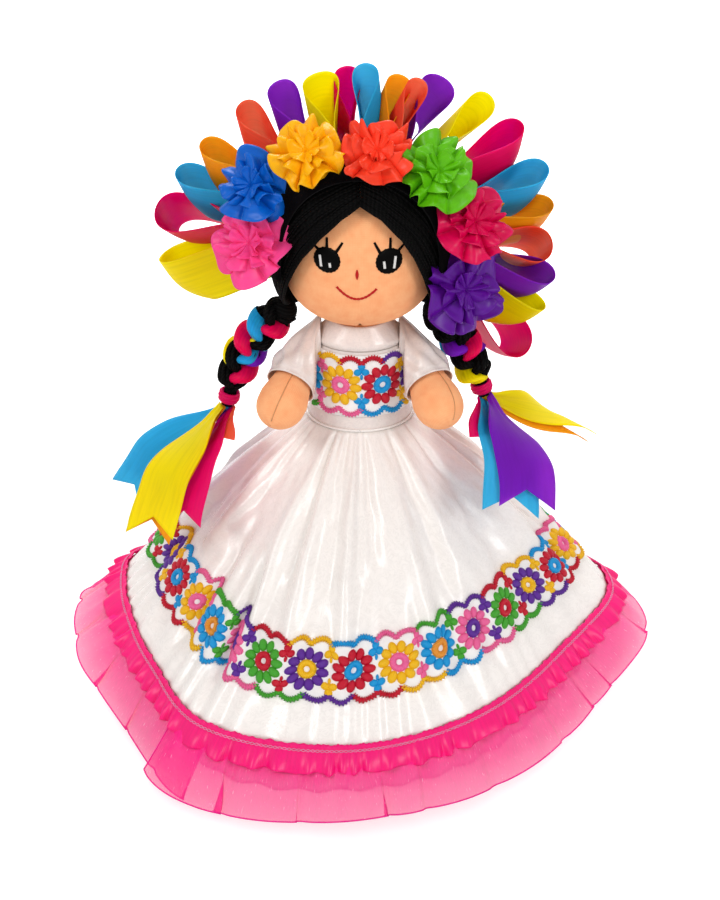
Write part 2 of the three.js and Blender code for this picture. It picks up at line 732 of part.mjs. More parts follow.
// Ribbon tails: a fan of layered ribbons from the tie down to the skirt
function fanTip(start, azimuth) {
  let [low, high] = [0, 1.1];
  for (let i = 0; i < 40; i += 1) {
    const middle = (low + high) / 2;
    if (skirtMean(azimuth, middle, -tailStandOff).distanceTo(start) < tailRun) low = middle;
    else high = middle;
  }
  return skirtMean(azimuth, low, -tailStandOff);
}

function addTails(braid) {
  const path = braidPath(braid);
  const leaving = path.getTangent(1);
  const start = path.getPoint(1).addScaledVector(leaving, 2 * seamGap);
  const azimuth = braid.sign * degToRad(braid.azimuth);
  const down = fanTip(start, azimuth).sub(start).normalize();
  const level = new THREE.Vector3(Math.cos(azimuth), Math.sin(azimuth), 0).multiplyScalar(braid.sign);
  level.addScaledVector(down, -level.dot(down)).normalize();
  const outward = level.clone().cross(down).multiplyScalar(-braid.sign);
  const tiedAcross = level.clone().addScaledVector(leaving, -level.dot(leaving)).normalize();
  const tiedOutward = tiedAcross.clone().cross(leaving).multiplyScalar(-braid.sign);
  const middle = (braid.tails.length - 1) / 2;
  braid.tails.forEach(([colour, angle, length], k) => {
    const turn = degToRad(angle);
    const along = down.clone().multiplyScalar(Math.cos(turn)).addScaledVector(level, Math.sin(turn));
    const across = level.clone().multiplyScalar(Math.cos(turn)).addScaledVector(down, -Math.sin(turn));
    const ribbon = (u, v) => {
      const wide = lerp(tailPinch, tailWidth, smoothstep(v * length, 0, tailSpread)) * (u - 0.5);
      const notch = tailNotch * (1 - 2 * Math.abs(u - 0.5)) * clamp(2 * v - 1, 0, 1);
      const run = v * length - notch;
      const share = clamp(run / tailRun, 0, 1);
      const layer = lerp((k - middle) * layerStep, k * tailLift, share);
      const bow = tailBow * Math.sin(Math.PI * share);
      const freed = smoothstep(v * length, 0, tailTurn);
      return start.clone().addScaledVector(along, run).addScaledVector(outward, bow)
        .addScaledVector(tiedAcross.clone().lerp(across, freed).normalize(), wide)
        .addScaledVector(tiedOutward.clone().lerp(outward, freed).normalize(), layer);
    };
    const half = tailThickness / 2;
    const geometry = sheet(lifted(ribbon, half), lifted(ribbon, -half), 2, 6);
    addPiece(`${braid.side}_tail_${colour}`, geometry, colour, 0.35);
  });
}

addTorso();
addBodice();
addSkirt();
addRuffle();
addPetticoat();
addHead();
addHair();
addBand();
addLoops();
addRosettes();
for (const [side, sign] of [['right', -1], ['left', 1]]) {
  addLeg(side, sign);
  addArm(side, sign);
}
for (const braid of braids) {
  addBraid(braid);
  addTails(braid);
}

// The origin is on the floor, at the middle of the hem's outline.
doll.position.y = (hemFront - hemBack) / 2;

export default doll;
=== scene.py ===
import math
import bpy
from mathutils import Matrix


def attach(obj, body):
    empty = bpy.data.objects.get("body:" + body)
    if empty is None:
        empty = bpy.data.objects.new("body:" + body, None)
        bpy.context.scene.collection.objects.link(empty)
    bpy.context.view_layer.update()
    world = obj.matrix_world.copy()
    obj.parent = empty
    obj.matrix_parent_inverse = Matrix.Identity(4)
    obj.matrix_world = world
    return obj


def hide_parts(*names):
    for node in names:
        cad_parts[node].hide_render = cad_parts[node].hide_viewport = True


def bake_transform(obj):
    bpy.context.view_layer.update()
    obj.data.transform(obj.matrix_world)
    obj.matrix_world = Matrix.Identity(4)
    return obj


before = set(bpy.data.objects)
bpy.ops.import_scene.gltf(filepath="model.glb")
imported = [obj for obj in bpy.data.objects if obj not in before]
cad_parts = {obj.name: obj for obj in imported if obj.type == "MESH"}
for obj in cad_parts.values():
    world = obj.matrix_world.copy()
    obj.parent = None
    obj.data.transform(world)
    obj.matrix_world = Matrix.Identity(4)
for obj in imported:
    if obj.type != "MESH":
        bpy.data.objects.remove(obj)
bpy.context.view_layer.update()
from types import SimpleNamespace
import bpy
import numpy as np

dollAxis = 53.0  # mm from the frame's origin back to the doll's axis; sizes below are mm from that axis
pi = math.pi
print("frame loaded:", len(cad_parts), "nodes")


# Small sums
def lerp(a, b, t):
    return a + (b - a) * t


def ease(x, low, high):
    t = np.clip((np.asarray(x, float) - low) / (high - low), 0, 1)
    return t * t * (3 - 2 * t)


def unit(v):
    v = np.asarray(v, float)
    return v / np.maximum(np.linalg.norm(v, axis=-1, keepdims=True), 1e-9)


def bell(x, width):
    return np.exp(-(x / width) ** 2)


def runAlong(line):
    steps = np.linalg.norm(np.diff(line, axis=0), axis=1)
    return np.concatenate([[0], np.cumsum(steps)])


def around(centre, across, up, turn, wide, high=None):
    high = wide if high is None else high
    return centre + across * (wide * np.cos(turn))[:, None] + up * (high * np.sin(turn))[:, None]


def toFrame(points):
    p = np.array(points, float).reshape(-1, 3)
    p[:, 1] += dollAxis
    return p / 1000


def hexLinear(code):
    channels = [int(code[i:i + 2], 16) / 255 for i in (1, 3, 5)]
    return [c / 12.92 if c <= 0.04045 else ((c + 0.055) / 1.055) ** 2.4 for c in channels] + [1.0]


def darker(code, share):
    return "#" + "".join(f"{round(int(code[i:i + 2], 16) * share):02x}" for i in (1, 3, 5))


# Meshes: a part is points with blocks of faces, each block with the UVs of its corners in mm of cloth
def gridFaces(wide, columns, rows):
    i, j = [k.ravel() for k in np.meshgrid(np.arange(columns), np.arange(rows))]
    places = np.stack([i, j], 1)[:, None] + [(0, 0), (1, 0), (1, 1), (0, 1)]
    return places, places[..., 1] * wide + places[..., 0] % wide


def repeated(faces, count, step):  # the same faces on each of several equal runs of points
    return (faces + (np.arange(count) * step)[:, None, None]).reshape(-1, faces.shape[1])


def gridPart(surface, columns, rows, size, closed=False, material=0):
    wide = columns if closed else columns + 1
    u, v = np.meshgrid(np.arange(wide) / columns, np.arange(rows + 1) / rows)
    places, faces = gridFaces(wide, columns, rows)
    uv = places / [columns, rows] * np.array(size)
    return {"points": surface(u.ravel(), v.ravel()), "blocks": [(faces, uv)], "material": material}


def turnUv(part):  # the ribbon's length runs across the grid
    part["blocks"] = [(faces, uv[..., ::-1]) for faces, uv in part["blocks"]]
    return part


def tubePart(lines, radius, sides=6, material=0):
    lines = np.asarray(lines, float)  # strands, points along each, 3
    count, steps = lines.shape[:2]
    tangent = unit(np.gradient(lines, axis=1))
    span = np.abs(lines[:, -1] - lines[:, 0])
    runsBack = span[:, 1:2] > 0.8 * np.linalg.norm(span, axis=1, keepdims=True)
    guide = np.where(runsBack, [1.0, 0, 0], [0, 1.0, 0])
    side = unit(np.cross(tangent, guide[:, None]))
    up = np.cross(side, tangent)
    radius = np.broadcast_to(np.asarray(radius, float), (count, steps))
    turn = 2 * pi * np.arange(sides)[:, None] / sides
    ring = side[:, :, None] * np.cos(turn) + up[:, :, None] * np.sin(turn)
    points = (lines[:, :, None] + ring * radius[:, :, None, None]).reshape(-1, 3)
    places, faces = gridFaces(sides, sides, steps - 1)
    run = np.stack([runAlong(line) for line in lines])
    girth = places[..., 0] * (2 * pi * float(radius.mean()) / sides)
    uv = np.stack([np.broadcast_to(girth, (count,) + girth.shape), run[:, places[..., 1]]], -1)
    first = np.arange(count)[:, None] * steps * sides
    last = first + (steps - 1) * sides
    caps = np.concatenate([first + np.arange(sides)[::-1], last + np.arange(sides)])
    capUv = np.broadcast_to(np.concatenate([np.cos(turn), np.sin(turn)], 1), caps.shape + (2,))
    blocks = [(repeated(faces, count, steps * sides), uv.reshape(-1, 4, 2)), (caps, capUv)]
    return {"points": points, "blocks": blocks, "material": material}


# Embroidery is drawn flat as (across, up, height) and then laid on a cloth
def domePart(centres, halves, turns, height, sides=10, rings=(1, 0.86, 0.5), scallops=0, depth=0.0,
             material=0):
    centres = np.asarray(centres, float).reshape(-1, 2)
    halves = np.asarray(halves, float).reshape(-1, 2)
    turns = np.asarray(turns, float).reshape(-1, 1)
    angle = 2 * pi * np.arange(sides) / sides
    edge = np.outer(rings, 1 + depth * np.cos(scallops * angle))
    x = np.append(edge * np.cos(angle), 0) * halves[:, :1]
    y = np.append(edge * np.sin(angle), 0) * halves[:, 1:]
    rise = height * np.append(np.repeat(np.sqrt(1 - np.square(rings)), sides), 1)
    a = centres[:, :1] + x * np.cos(turns) - y * np.sin(turns)
    b = centres[:, 1:] + x * np.sin(turns) + y * np.cos(turns)
    points = np.stack([a, b, np.broadcast_to(rise, a.shape)], -1).reshape(-1, 3)
    quads = gridFaces(sides, sides, len(rings) - 1)[1]
    i, last = np.arange(sides), (len(rings) - 1) * sides
    fan = np.stack([last + i, last + (i + 1) % sides, np.full(sides, len(rise) - 1)], 1)
    flat = np.stack([x, y], -1).reshape(-1, 2)
    blocks = [repeated(block, len(centres), len(rise)) for block in (quads, fan)]
    return {"points": points, "blocks": [(faces, flat[faces]) for faces in blocks], "material": material}


def ringPart(centres, inner, outer, height, sides=20, material=0):
    centres = np.asarray(centres, float).reshape(-1, 2)
    shares = np.array([0, 0.2, 0.5, 0.8, 1])
    radius = np.repeat(lerp(inner, outer, shares), sides)
    turn = np.tile(2 * pi * np.arange(sides) / sides, len(shares))
    a = centres[:, :1] + radius * np.cos(turn)
    b = centres[:, 1:] + radius * np.sin(turn)
    h = np.broadcast_to(np.repeat(height * np.sin(pi * shares) ** 0.6, sides), a.shape)
    quads = gridFaces(sides, sides, len(shares) - 1)[1][:, [0, 3, 2, 1]]
    faces = repeated(quads, len(centres), len(turn))
    flat = np.tile(np.stack([turn * outer * 0.6, radius], 1), (len(centres), 1))
    points = np.stack([a, b, h], -1).reshape(-1, 3)
    return {"points": points, "blocks": [(faces, flat[faces])], "material": material}


def stitchPart(paths, radius, material=0, lift=0.0, flat=0.75, sides=6):
    paths = np.asarray(paths, float)  # strokes, points, 2
    full = np.concatenate([paths, np.zeros(paths.shape[:2] + (1,))], 2)
    tangent = unit(np.gradient(full, axis=1))
    side = np.stack([-tangent[..., 1], tangent[..., 0], np.zeros(paths.shape[:2])], 2)
    part = tubePart(full, radius, sides, material)
    angle = 2 * pi * np.arange(sides) / sides
    radius = np.broadcast_to(np.asarray(radius, float), paths.shape[:2])[:, :, None, None]
    points = full[:, :, None] + side[:, :, None] * np.cos(angle)[:, None] * radius
    points[..., 2] += np.sin(angle) * radius[..., 0] * flat + lift
    part["points"] = points.reshape(-1, 3)
    return part


def lay(parts, place):
    for part in parts:
        part["points"] = place(*part["points"].T)
    return parts


def lifted(surface, u, v, height, step):
    across = surface(u + step, v) - surface(u - step, v)
    along = surface(u, v + step) - surface(u, v - step)
    normal = unit(np.cross(along, across))
    return surface(u, v) + normal * np.asarray(height, float)[..., None]


def makePiece(name, parts, body, materials, stands=(), thickness=0.0, level=0):
    points, faces, uvs, materialOf, start = [], [], [], [], 0
    for part in parts:
        points.append(part["points"])
        for block, uv in part["blocks"]:
            faces += (block + start).tolist()
            uvs.append(uv.reshape(-1, 2))
            materialOf += [part["material"]] * len(block)
        start += len(part["points"])
    mesh = bpy.data.meshes.new(name)
    mesh.from_pydata(toFrame(np.concatenate(points)).tolist(), [], faces)
    layer = mesh.uv_layers.new(name="clothMm")
    layer.data.foreach_set("uv", np.concatenate(uvs).astype(np.float32).ravel())
    for material in materials:
        mesh.materials.append(material)
    mesh.polygons.foreach_set("material_index", materialOf)
    mesh.polygons.foreach_set("use_smooth", [True] * len(faces))
    mesh.update()
    piece = bpy.data.objects.new(name, mesh)
    bpy.context.collection.objects.link(piece)
    if level:
        rounding = piece.modifiers.new("rounding", "SUBSURF")
        rounding.levels = rounding.render_levels = level
    if thickness:
        cloth = piece.modifiers.new("clothThickness", "SOLIDIFY")
        cloth.thickness = thickness / 1000
        cloth.offset = 0
    if body:
        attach(piece, body)
    if stands:
        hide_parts(*stands)
    return piece


def sheetArea(part):
    p, (faces, _) = part["points"], part["blocks"][0]
    a, b, c, d = [p[faces[:, k]] for k in range(4)]
    return np.linalg.norm(np.cross(c - a, d - b), axis=1).sum() / 2


def sheetPiece(name, part, body, material, stands, cut, thickness=0.0):
    piece = makePiece(name, [part], body, [material], [stands], thickness)
    return piece


limbFill, headFill = 0.9, 0.95  # shares of a firm stuffing


def stuffedPiece(name, parts, body, materials, stands, fill=limbFill):
    makePiece(name, parts, body, materials, [stands])


# Materials
def addNode(tree, kind, settings={}, links={}):
    node = tree.nodes.new(kind)
    for key, value in settings.items():
        if key == "stops":
            ramp = node.color_ramp.elements
            while len(ramp) < len(value):
                ramp.new(1)
            for stop, (place, colour) in zip(ramp, value):
                stop.position, stop.color = place, hexLinear(colour)
        elif isinstance(key, str) and hasattr(node, key):
            setattr(node, key, value)
        else:
            node.inputs[key].default_value = value
    for key, source in links.items():
        tree.links.new(source, node.inputs[key])
    return node


def newCloth(name, rough, gloss, settings={}):
    material = bpy.data.materials.new(name)
    material.use_nodes = True
    tree = material.node_tree
    shader = tree.nodes["Principled BSDF"]
    for key, value in {"Roughness": rough, "Specular IOR Level": gloss, **settings}.items():
        shader.inputs[key].default_value = value
    uv = addNode(tree, "ShaderNodeUVMap", {"uv_map": "clothMm"}).outputs["UV"]
    return SimpleNamespace(material=material, tree=tree, shader=shader, uv=uv)


def threads(cloth, way, mm, distortion=0.0, detail=2.0):  # a wave texture repeats every 0.314 / scale
    settings = {"bands_direction": way, "Scale": 0.31416 / mm, "Distortion": distortion, "Detail": detail}
    return addNode(cloth.tree, "ShaderNodeTexWave", settings, {"Vector": cloth.uv}).outputs["Fac"]


def patches(cloth, scale, detail, distortion=0.0, stretch=None):
    vector = cloth.uv
    if stretch:
        vector = addNode(cloth.tree, "ShaderNodeMapping", {"Scale": stretch}, {"Vector": vector}).outputs[0]
    settings = {"Scale": scale, "Detail": detail, "Distortion": distortion}
    return addNode(cloth.tree, "ShaderNodeTexNoise", settings, {"Vector": vector}).outputs["Fac"]


def sumOf(cloth, first, share, second):
    settings = {"operation": "MULTIPLY_ADD", 1: share}
    return addNode(cloth.tree, "ShaderNodeMath", settings, {0: first, 2: second}).outputs[0]


def toneBy(cloth, height, stops, socket="Base Color"):
    tone = addNode(cloth.tree, "ShaderNodeValToRGB", {"stops": stops}, {"Fac": height})
    cloth.tree.links.new(tone.outputs["Color"], cloth.shader.inputs[socket])


def bumpBy(cloth, height, strength, deepMm):
    settings = {"Strength": strength, "Distance": deepMm / 1000}
    bump = addNode(cloth.tree, "ShaderNodeBump", settings, {"Height": height})
    cloth.tree.links.new(bump.outputs["Normal"], cloth.shader.inputs["Normal"])
    return cloth.material


# Polyester satin ribbon: filament floats along the length, so the gloss runs in fine lengthwise lines.
# The floats are 0.2 mm apart and are drawn at 0.8 mm to show.
def satinRibbon(name, code, floatMm=0.8, rough=0.42, through=0.55, gloss=0.12):
    cloth = newCloth(name, rough, gloss, {
        "Anisotropic": 0.4, "IOR": 1.45, "Subsurface Weight": through, "Subsurface Radius": (1, 1, 1),
        "Subsurface Scale": 0.003})
    floats = threads(cloth, "X", floatMm, 0.6, 1.0)
    mixed = sumOf(cloth, floats, 0.3, patches(cloth, 1.0, 3.0, stretch=(0.5, 0.03, 1)))
    toneBy(cloth, mixed, [(0.3, darker(code, 0.92)), (0.8, code)])
    return bumpBy(cloth, mixed, 0.12, 0.3)


# Plain-woven cotton: matt, with a visible crossing of threads. 0.5 mm threads, drawn at 1.1 mm.
def plainCotton(name, light, dark, threadMm=1.1):
    cloth = newCloth(name, 0.88, 0.1, {"Sheen Weight": 0.05, "Sheen Roughness": 0.6})
    warp, weft = [threads(cloth, way, threadMm, 0.8, 1.0) for way in "XY"]
    crossing = {"operation": "MULTIPLY"}
    weave = addNode(cloth.tree, "ShaderNodeMath", crossing, {0: warp, 1: weft}).outputs[0]
    slubs = patches(cloth, 0.12, 4.0)
    toneBy(cloth, sumOf(cloth, weave, 0.25, slubs), [(0.3, dark), (0.75, light)])
    return bumpBy(cloth, weave, 0.35, 0.4)


# White jacquard satin: woven sprigs are matt where the ground shines, so they show mostly by their gloss.
def jacquardSatin(name, code, sprigMm=9.0):
    cloth = newCloth(name, 0.5, 0.5)
    sprigs = patches(cloth, 1 / sprigMm, 1.0, 2.2)
    toneBy(cloth, sprigs, [(0.4, "#5c5c5c"), (0.5, "#9a9a9a"), (0.6, "#666666")], "Roughness")
    shades = [(0.42, code), (0.49, darker(code, 0.955)), (0.53, code), (0.62, darker(code, 0.975))]
    toneBy(cloth, sprigs, shades)
    return bumpBy(cloth, threads(cloth, "Y", 0.9, 0.5), 0.12, 0.3)


# Nylon organza: a sheer net of fine stiff threads, part seen through, with pale flecks that are painted
# sparkle in the light.
# Its gathered top lies in several layers, so it covers more there than at the hem.
def sheerOrganza(name, code, deepMm=52.0):
    cloth = newCloth(name, 0.45, 0.2)
    paintedSparkle = patches(cloth, 1.0, 2.0, stretch=(1.1, 0.2, 1))
    # the palest flecks are painted highlights, the organza's shimmer
    toneBy(cloth, paintedSparkle, [(0.25, darker(code, 0.94)), (0.66, code), (0.82, "#ffb4d8")])
    place = addNode(cloth.tree, "ShaderNodeSeparateXYZ", {}, {0: cloth.uv})
    layers = {"From Min": 0.0, "From Max": deepMm, "To Min": 0.98, "To Max": 0.66}
    cover = addNode(cloth.tree, "ShaderNodeMapRange", layers, {"Value": place.outputs["Y"]})
    cloth.tree.links.new(cover.outputs[0], cloth.shader.inputs["Alpha"])
    return bumpBy(cloth, threads(cloth, "X", 0.9), 0.1, 0.3)


# Stiff nylon net, white: a mesh of 1 mm holes, drawn as slanting lines 2 mm apart.
def stiffNet(name, code):
    cloth = newCloth(name, 0.8, 0.3)
    net = threads(cloth, "DIAGONAL", 2.0)
    toneBy(cloth, net, [(0.2, darker(code, 0.86)), (0.7, code)])
    return bumpBy(cloth, net, 0.4, 0.5)


# Spun acrylic yarn, black: a soft twist shows as slanting lines 1.4 mm apart.
def spunYarn(name, dark, light):
    cloth = newCloth(name, 0.7, 0.06)
    twist = threads(cloth, "DIAGONAL", 1.4, 1.5, 2.0)
    toneBy(cloth, twist, [(0.25, dark), (0.9, light)])
    return bumpBy(cloth, twist, 0.6, 0.4)


# Rayon embroidery floss in satin stitch: glossy threads side by side, 0.4 mm each and drawn at 0.7 mm.
def stitchedFloss(name, code, gloss):
    cloth = newCloth(name, 0.4, gloss, {"Anisotropic": 0.3})
    floss = threads(cloth, "X", 0.7, 1.0, 1.0)
    toneBy(cloth, floss, [(0.1, darker(code, 0.8)), (0.6, code)])
    return bumpBy(cloth, floss, 0.5, 0.3)


# Pressed wool felt, black: no weave, only a fine matted fuzz.
def pressedFelt(name, code):
    cloth = newCloth(name, 0.95, 0.03, {"Sheen Weight": 0.02})
    fuzz = patches(cloth, 0.9, 6.0)
    toneBy(cloth, fuzz, [(0.3, darker(code, 0.6)), (0.7, code)])
    return bumpBy(cloth, fuzz, 0.5, 0.6)


ribbonCodes = {"yellow": "#ffe100", "crimson": "#e60050", "sky": "#219fdc", "orange": "#ff8f0a",
               "coral": "#fc4429", "purple": "#7414b4", "gold": "#ffb60a", "blue": "#0a68d0",
               "pink": "#ff4892", "green": "#60ba0e", "magenta": "#e4075c"}
ribbons = {name: satinRibbon(f"{name}SatinRibbon", code) for name, code in ribbonCodes.items()}
rosetteColours = ["pink", "blue", "gold", "coral", "green", "magenta", "purple"]
# The rosettes are the same ribbons; their purple, blue and magenta are set darker, painted shade for their
# deep folds
gatheredCodes = {**ribbonCodes, "purple": "#5a0e90", "blue": "#0660c6", "magenta": "#dc0450"}
gatheredRibbons = {name: satinRibbon(f"{name}GatheredRibbon", gatheredCodes[name], 0.8, 0.3, 0.1, 0.22)
                   for name in rosetteColours}
flossCodes = {"green": "#46ab2e", "red": "#d00f2e", "purple": "#622a9c", "yellow": "#ffc415",
              "blue": "#129fe4", "pink": "#fb6ba4", "orange": "#f09a34", "black": "#040303",
              "white": "#f2efec", "palePink": "#ff9fca", "taupe": "#b3a196", "tan": "#dc9c68",
              "scarlet": "#cc0f10"}
flosses = {name: stitchedFloss(f"{name}Floss", code, 0.05 if name == "black" else 0.25)
           for name, code in flossCodes.items()}
skinCotton = plainCotton("skinCotton", "#ffb983", "#faa570")
dressSatin = jacquardSatin("whiteJacquardSatin", "#f6f0eb")
# Painted shade: a greyer copy of the same white satin, for the bodice and sleeves under the head
paintedShadeSatin = jacquardSatin("whiteSatinPaintedShade", "#ebdfd9")  # the same weave, greyer in its shade
bandCloth = plainCotton("whiteBandCloth", "#f6f3f1", "#ebe6e4", 1.0)
pinkOrganza = sheerOrganza("hotPinkOrganza", "#ff1f8a")
hemThread = satinRibbon("hotPinkHemThread", "#f0288a", 0.8, 0.5)
pinkSatin = satinRibbon("hotPinkSatin", "#ff1279", 0.9, 0.3, 0.2, 0.3)
whiteNet = stiffNet("whiteNet", "#f4eff0")
hairYarn = spunYarn("blackYarn", "#020202", "#0c0b0b")
blackFelt = pressedFelt("blackFelt", "#0b090b")
print("materials made:", len(bpy.data.materials))


# Camera, light and floor
view = {"place": (0.0, -0.797, 0.690), "tilt": 57.0, "lens": 58.5, "sensor": 36}
scene = bpy.context.scene
scene.view_settings.view_transform = "Standard"
cameraData = bpy.data.cameras.new("photoCamera")
cameraData.lens = view["lens"]
cameraData.sensor_width = view["sensor"]
camera = bpy.data.objects.new("photoCamera", cameraData)
camera.location = view["place"]
camera.rotation_euler = (math.radians(view["tilt"]), 0, 0)
bpy.context.collection.objects.link(camera)
scene.camera = camera

lamps = {"keySoftbox": {"place": (-1.0, -0.8, 1.3), "size": 0.5, "watts": 8.0},
         "fillSoftbox": {"place": (0.95, -0.95, 1.0), "size": 0.5, "watts": 7.0},
         "backSoftbox": {"place": (0.0, 0.85, 1.15), "size": 0.7, "watts": 9.0}}
lampAim = (0, 0.03, 0.18)
for name, lamp in lamps.items():
    data = bpy.data.lights.new(name, "AREA")
    data.size, data.energy = lamp["size"], lamp["watts"]
    softbox = bpy.data.objects.new(name, data)
    softbox.location = lamp["place"]
    x, y, z = np.subtract(lampAim, lamp["place"])
    softbox.rotation_euler = (math.atan2(math.hypot(x, y), -z), 0, math.atan2(-x, y))
    bpy.context.collection.objects.link(softbox)

# White studio walls: full white to the camera and in reflections, softer as a light
world = bpy.data.worlds.new("studio")
scene.world = world
world.use_nodes = True
sky = world.node_tree
background = sky.nodes["Background"]
background.inputs["Color"].default_value = (1, 1, 1, 1)
rays = addNode(sky, "ShaderNodeLightPath").outputs
through = addNode(sky, "ShaderNodeMath", {"operation": "MAXIMUM"},
                  {0: rays["Is Glossy Ray"], 1: rays["Is Transmission Ray"]})
seen = addNode(sky, "ShaderNodeMath", {"operation": "MAXIMUM"},
               {0: rays["Is Camera Ray"], 1: through.outputs[0]})
level = addNode(sky, "ShaderNodeMapRange",
                {"From Min": 0.0, "From Max": 1.0, "To Min": 0.6, "To Max": 1.0}, {"Value": seen.outputs[0]})
sky.links.new(level.outputs[0], background.inputs["Strength"])

# Seamless white paper: matt, and lifted to white for the camera outside the doll's shadow
floor = {"half": 4.0, "height": -0.0006}
paper = bpy.data.materials.new("seamlessPaper")
paper.use_nodes = True
paperTree = paper.node_tree
shader = paperTree.nodes["Principled BSDF"]
for key, value in {"Base Color": hexLinear("#f4f4f4"), "Roughness": 0.9, "Specular IOR Level": 0.1,
                   "Emission Color": (1, 1, 1, 1)}.items():
    shader.inputs[key].default_value = value
paperRays = addNode(paperTree, "ShaderNodeLightPath")
paperPlace = addNode(paperTree, "ShaderNodeNewGeometry")
paperReach = addNode(paperTree, "ShaderNodeVectorMath", {"operation": "LENGTH"},
                     {0: paperPlace.outputs["Position"]})
paperFade = addNode(paperTree, "ShaderNodeMapRange",
                    {"From Min": 0.2, "From Max": 0.7, "To Min": 0.25, "To Max": 1.0},
                    {"Value": paperReach.outputs["Value"]})
glow = addNode(paperTree, "ShaderNodeMath", {"operation": "MULTIPLY"},
               {0: paperRays.outputs["Is Camera Ray"], 1: paperFade.outputs[0]})
paperTree.links.new(glow.outputs[0], shader.inputs["Emission Strength"])
floorMesh = bpy.data.meshes.new("paperFloor")
floorCorners = [(x * floor["half"], y * floor["half"], floor["height"])
                for x, y in ((-1, -1), (1, -1), (1, 1), (-1, 1))]
floorMesh.from_pydata(floorCorners, [], [(0, 1, 2, 3)])
floorMesh.materials.append(paper)
paperFloor = bpy.data.objects.new("paperFloor", floorMesh)
bpy.context.collection.objects.link(paperFloor)
print("camera, lamps and floor set")


# Skirt: a gathered bell of white satin from the waist to the ruffle's seam
skirt = {"waistHeight": 171.0, "seamHeight": 36.0, "waistSide": 35.7, "waistDepth": 28.7, "seamSide": 178.0,
         "seamFront": 180.0, "seamBack": 100.0, "bulge": 6.0, "folds": 17, "foldDepth": 5.0, "thickness": 0.7,
         "cut": 205.0,
         # creases: degrees round from the front, width in degrees, depth in mm
         "creases": [(-34.3, 2.7, 17), (-27, 4, 3.5), (-41, 3.2, 5), (-49, 3.2, 8), (-60, 4, 4), (17, 3, 4.5),
                     (26, 3.4, 4), (36, 3.4, 5), (78, 4, 6), (-78, 4, 6), (-110, 4, 7), (112, 4, 7),
                     (150, 4, 6), (-152, 4, 6), (178, 4, 5)],
         # how the seam hangs in or out of its oval: degrees round from the front, share of the oval's reach
         "hang": [(-180, 1), (-145, 1), (-132, 0.93), (-120, 0.88), (-110, 0.89), (-97, 0.955), (-68, 0.94),
                  (-49, 0.97), (-40, 1.03), (-33.5, 1.065), (-23.5, 1.055), (-12, 1.035), (0, 1.018),
                  (12, 0.985), (23, 0.955), (31, 0.935), (43, 0.91), (56, 0.9), (68, 0.935), (76, 0.985),
                  (83, 1.02), (90, 0.98), (103, 0.885), (112, 0.87), (125, 0.93), (140, 1), (180, 1)]}
hangDegrees = np.arange(-180, 180)
hangSoftness = 6.0


def hangTable(stops):  # eased so that the cloth turns softly
    raw = np.interp(hangDegrees, *zip(*stops))
    near = bell(np.arange(-15, 16), hangSoftness)
    return np.convolve(np.tile(raw, 3), near / near.sum(), "same")[360:720]


def hangAt(table, az):
    return np.interp(np.degrees(az), hangDegrees, table, period=360)


skirtHang = hangTable(skirt["hang"])


def turnFrom(az, degrees):
    return (az - math.radians(degrees) + pi) % (2 * pi) - pi


def skirtFold(az, s):
    drift = az + 0.11 * np.sin(3 * az + 0.6) + 0.06 * np.sin(7 * az + 2.1) + 0.03 * np.sin(13 * az)
    body = np.sin(pi * np.clip(s, 0, 1)) ** 0.75 * (1 - 0.72 * ease(s, 0.5, 0.72))
    broad = skirt["folds"] * drift
    fold = skirt["foldDepth"] * body * (np.cos(broad) + 0.25 * np.cos(2 * broad + 1))
    drawn = 0.6 + 0.4 * np.sin(5 * az + 1) * np.sin(3 * az)
    # gathers at the waist, half-way down and at the ruffle's seam, then two sets of small dents
    waist = np.cos(37 * drift + 2.5 * np.sin(6 * az)) * (1 - ease(s, 0.08, 0.5)) * ease(s, 0, 0.04)
    middle = np.cos(31 * drift + 2 * np.sin(4 * az)) * ease(s, 0.2, 0.5) * (1 - ease(s, 0.7, 0.85))
    seam = np.cos(64 * az + 3.5 * np.sin(9 * az)) * ease(s, 0.8, 0.9) * (1 - 0.5 * ease(s, 0.96, 1))
    fold += 1.5 * drawn * waist + 1.0 * middle + 1.9 * drawn * seam
    fold += 0.8 * np.sin(23 * drift + 9 * s + 2 * np.sin(5 * az)) * np.sin(19 * s + 3 * np.sin(7 * az)) * body
    fold += 0.6 * np.sin(41 * az - 13 * s) * np.sin(27 * s + 4 * np.sin(3 * az + 1)) * body
    for degrees, width, depth in skirt["creases"]:
        shape = bell(turnFrom(az, degrees), math.radians(width))
        fold -= depth * shape * ease(s, 0.3, 0.64) * (1 - ease(s, 0.84, 0.98))
    return fold


def skirtMean(az, s, inset=0.0, hung=1.0):
    swell = skirt["bulge"] * np.sin(pi * np.clip(s, 0, 1)) - inset
    side = lerp(skirt["waistSide"], skirt["seamSide"], s) + swell
    reach = np.where(np.cos(az) > 0, skirt["seamFront"], skirt["seamBack"])
    deep = lerp(skirt["waistDepth"], reach, s) + swell
    pull = 1 + (hangAt(skirtHang, az) - 1) * ease(s, 0.1, 0.85) * hung
    height = lerp(skirt["waistHeight"], skirt["seamHeight"], s)
    return np.stack([side * pull * np.sin(az), -deep * pull * np.cos(az), height], -1)


def skirtCloth(az, s):
    return skirtMean(az, s, -skirtFold(az, s))


skirtPart = gridPart(lambda u, v: skirtCloth(2 * pi * u, v), 720, 72, (1000, skirt["cut"]), closed=True)
sheetPiece("skirtCloth", skirtPart, "body", dressSatin, "skirt", skirt["cut"],
           skirt["thickness"])

# Waist seam: a tuck, and under it a dark taupe line that is partly its stitches and partly painted shade in
# the seam, where the skirt is sewn to the bodice
seamAz = np.linspace(0, 2 * pi, 181)
seamLine = skirtMean(seamAz, np.zeros_like(seamAz), -0.3)
tuck = tubePart([seamLine + [0, 0, 1.0]], 0.9, 7)
# painted shade: a dark taupe tube sunk in the seam's hollow, also standing for the stitches
tuckShade = tubePart([seamLine + [0, 0, -0.2]], 0.3, 5, 1)
makePiece("waistSeamTuck", [tuck, tuckShade], "body", [dressSatin, flosses["taupe"]])

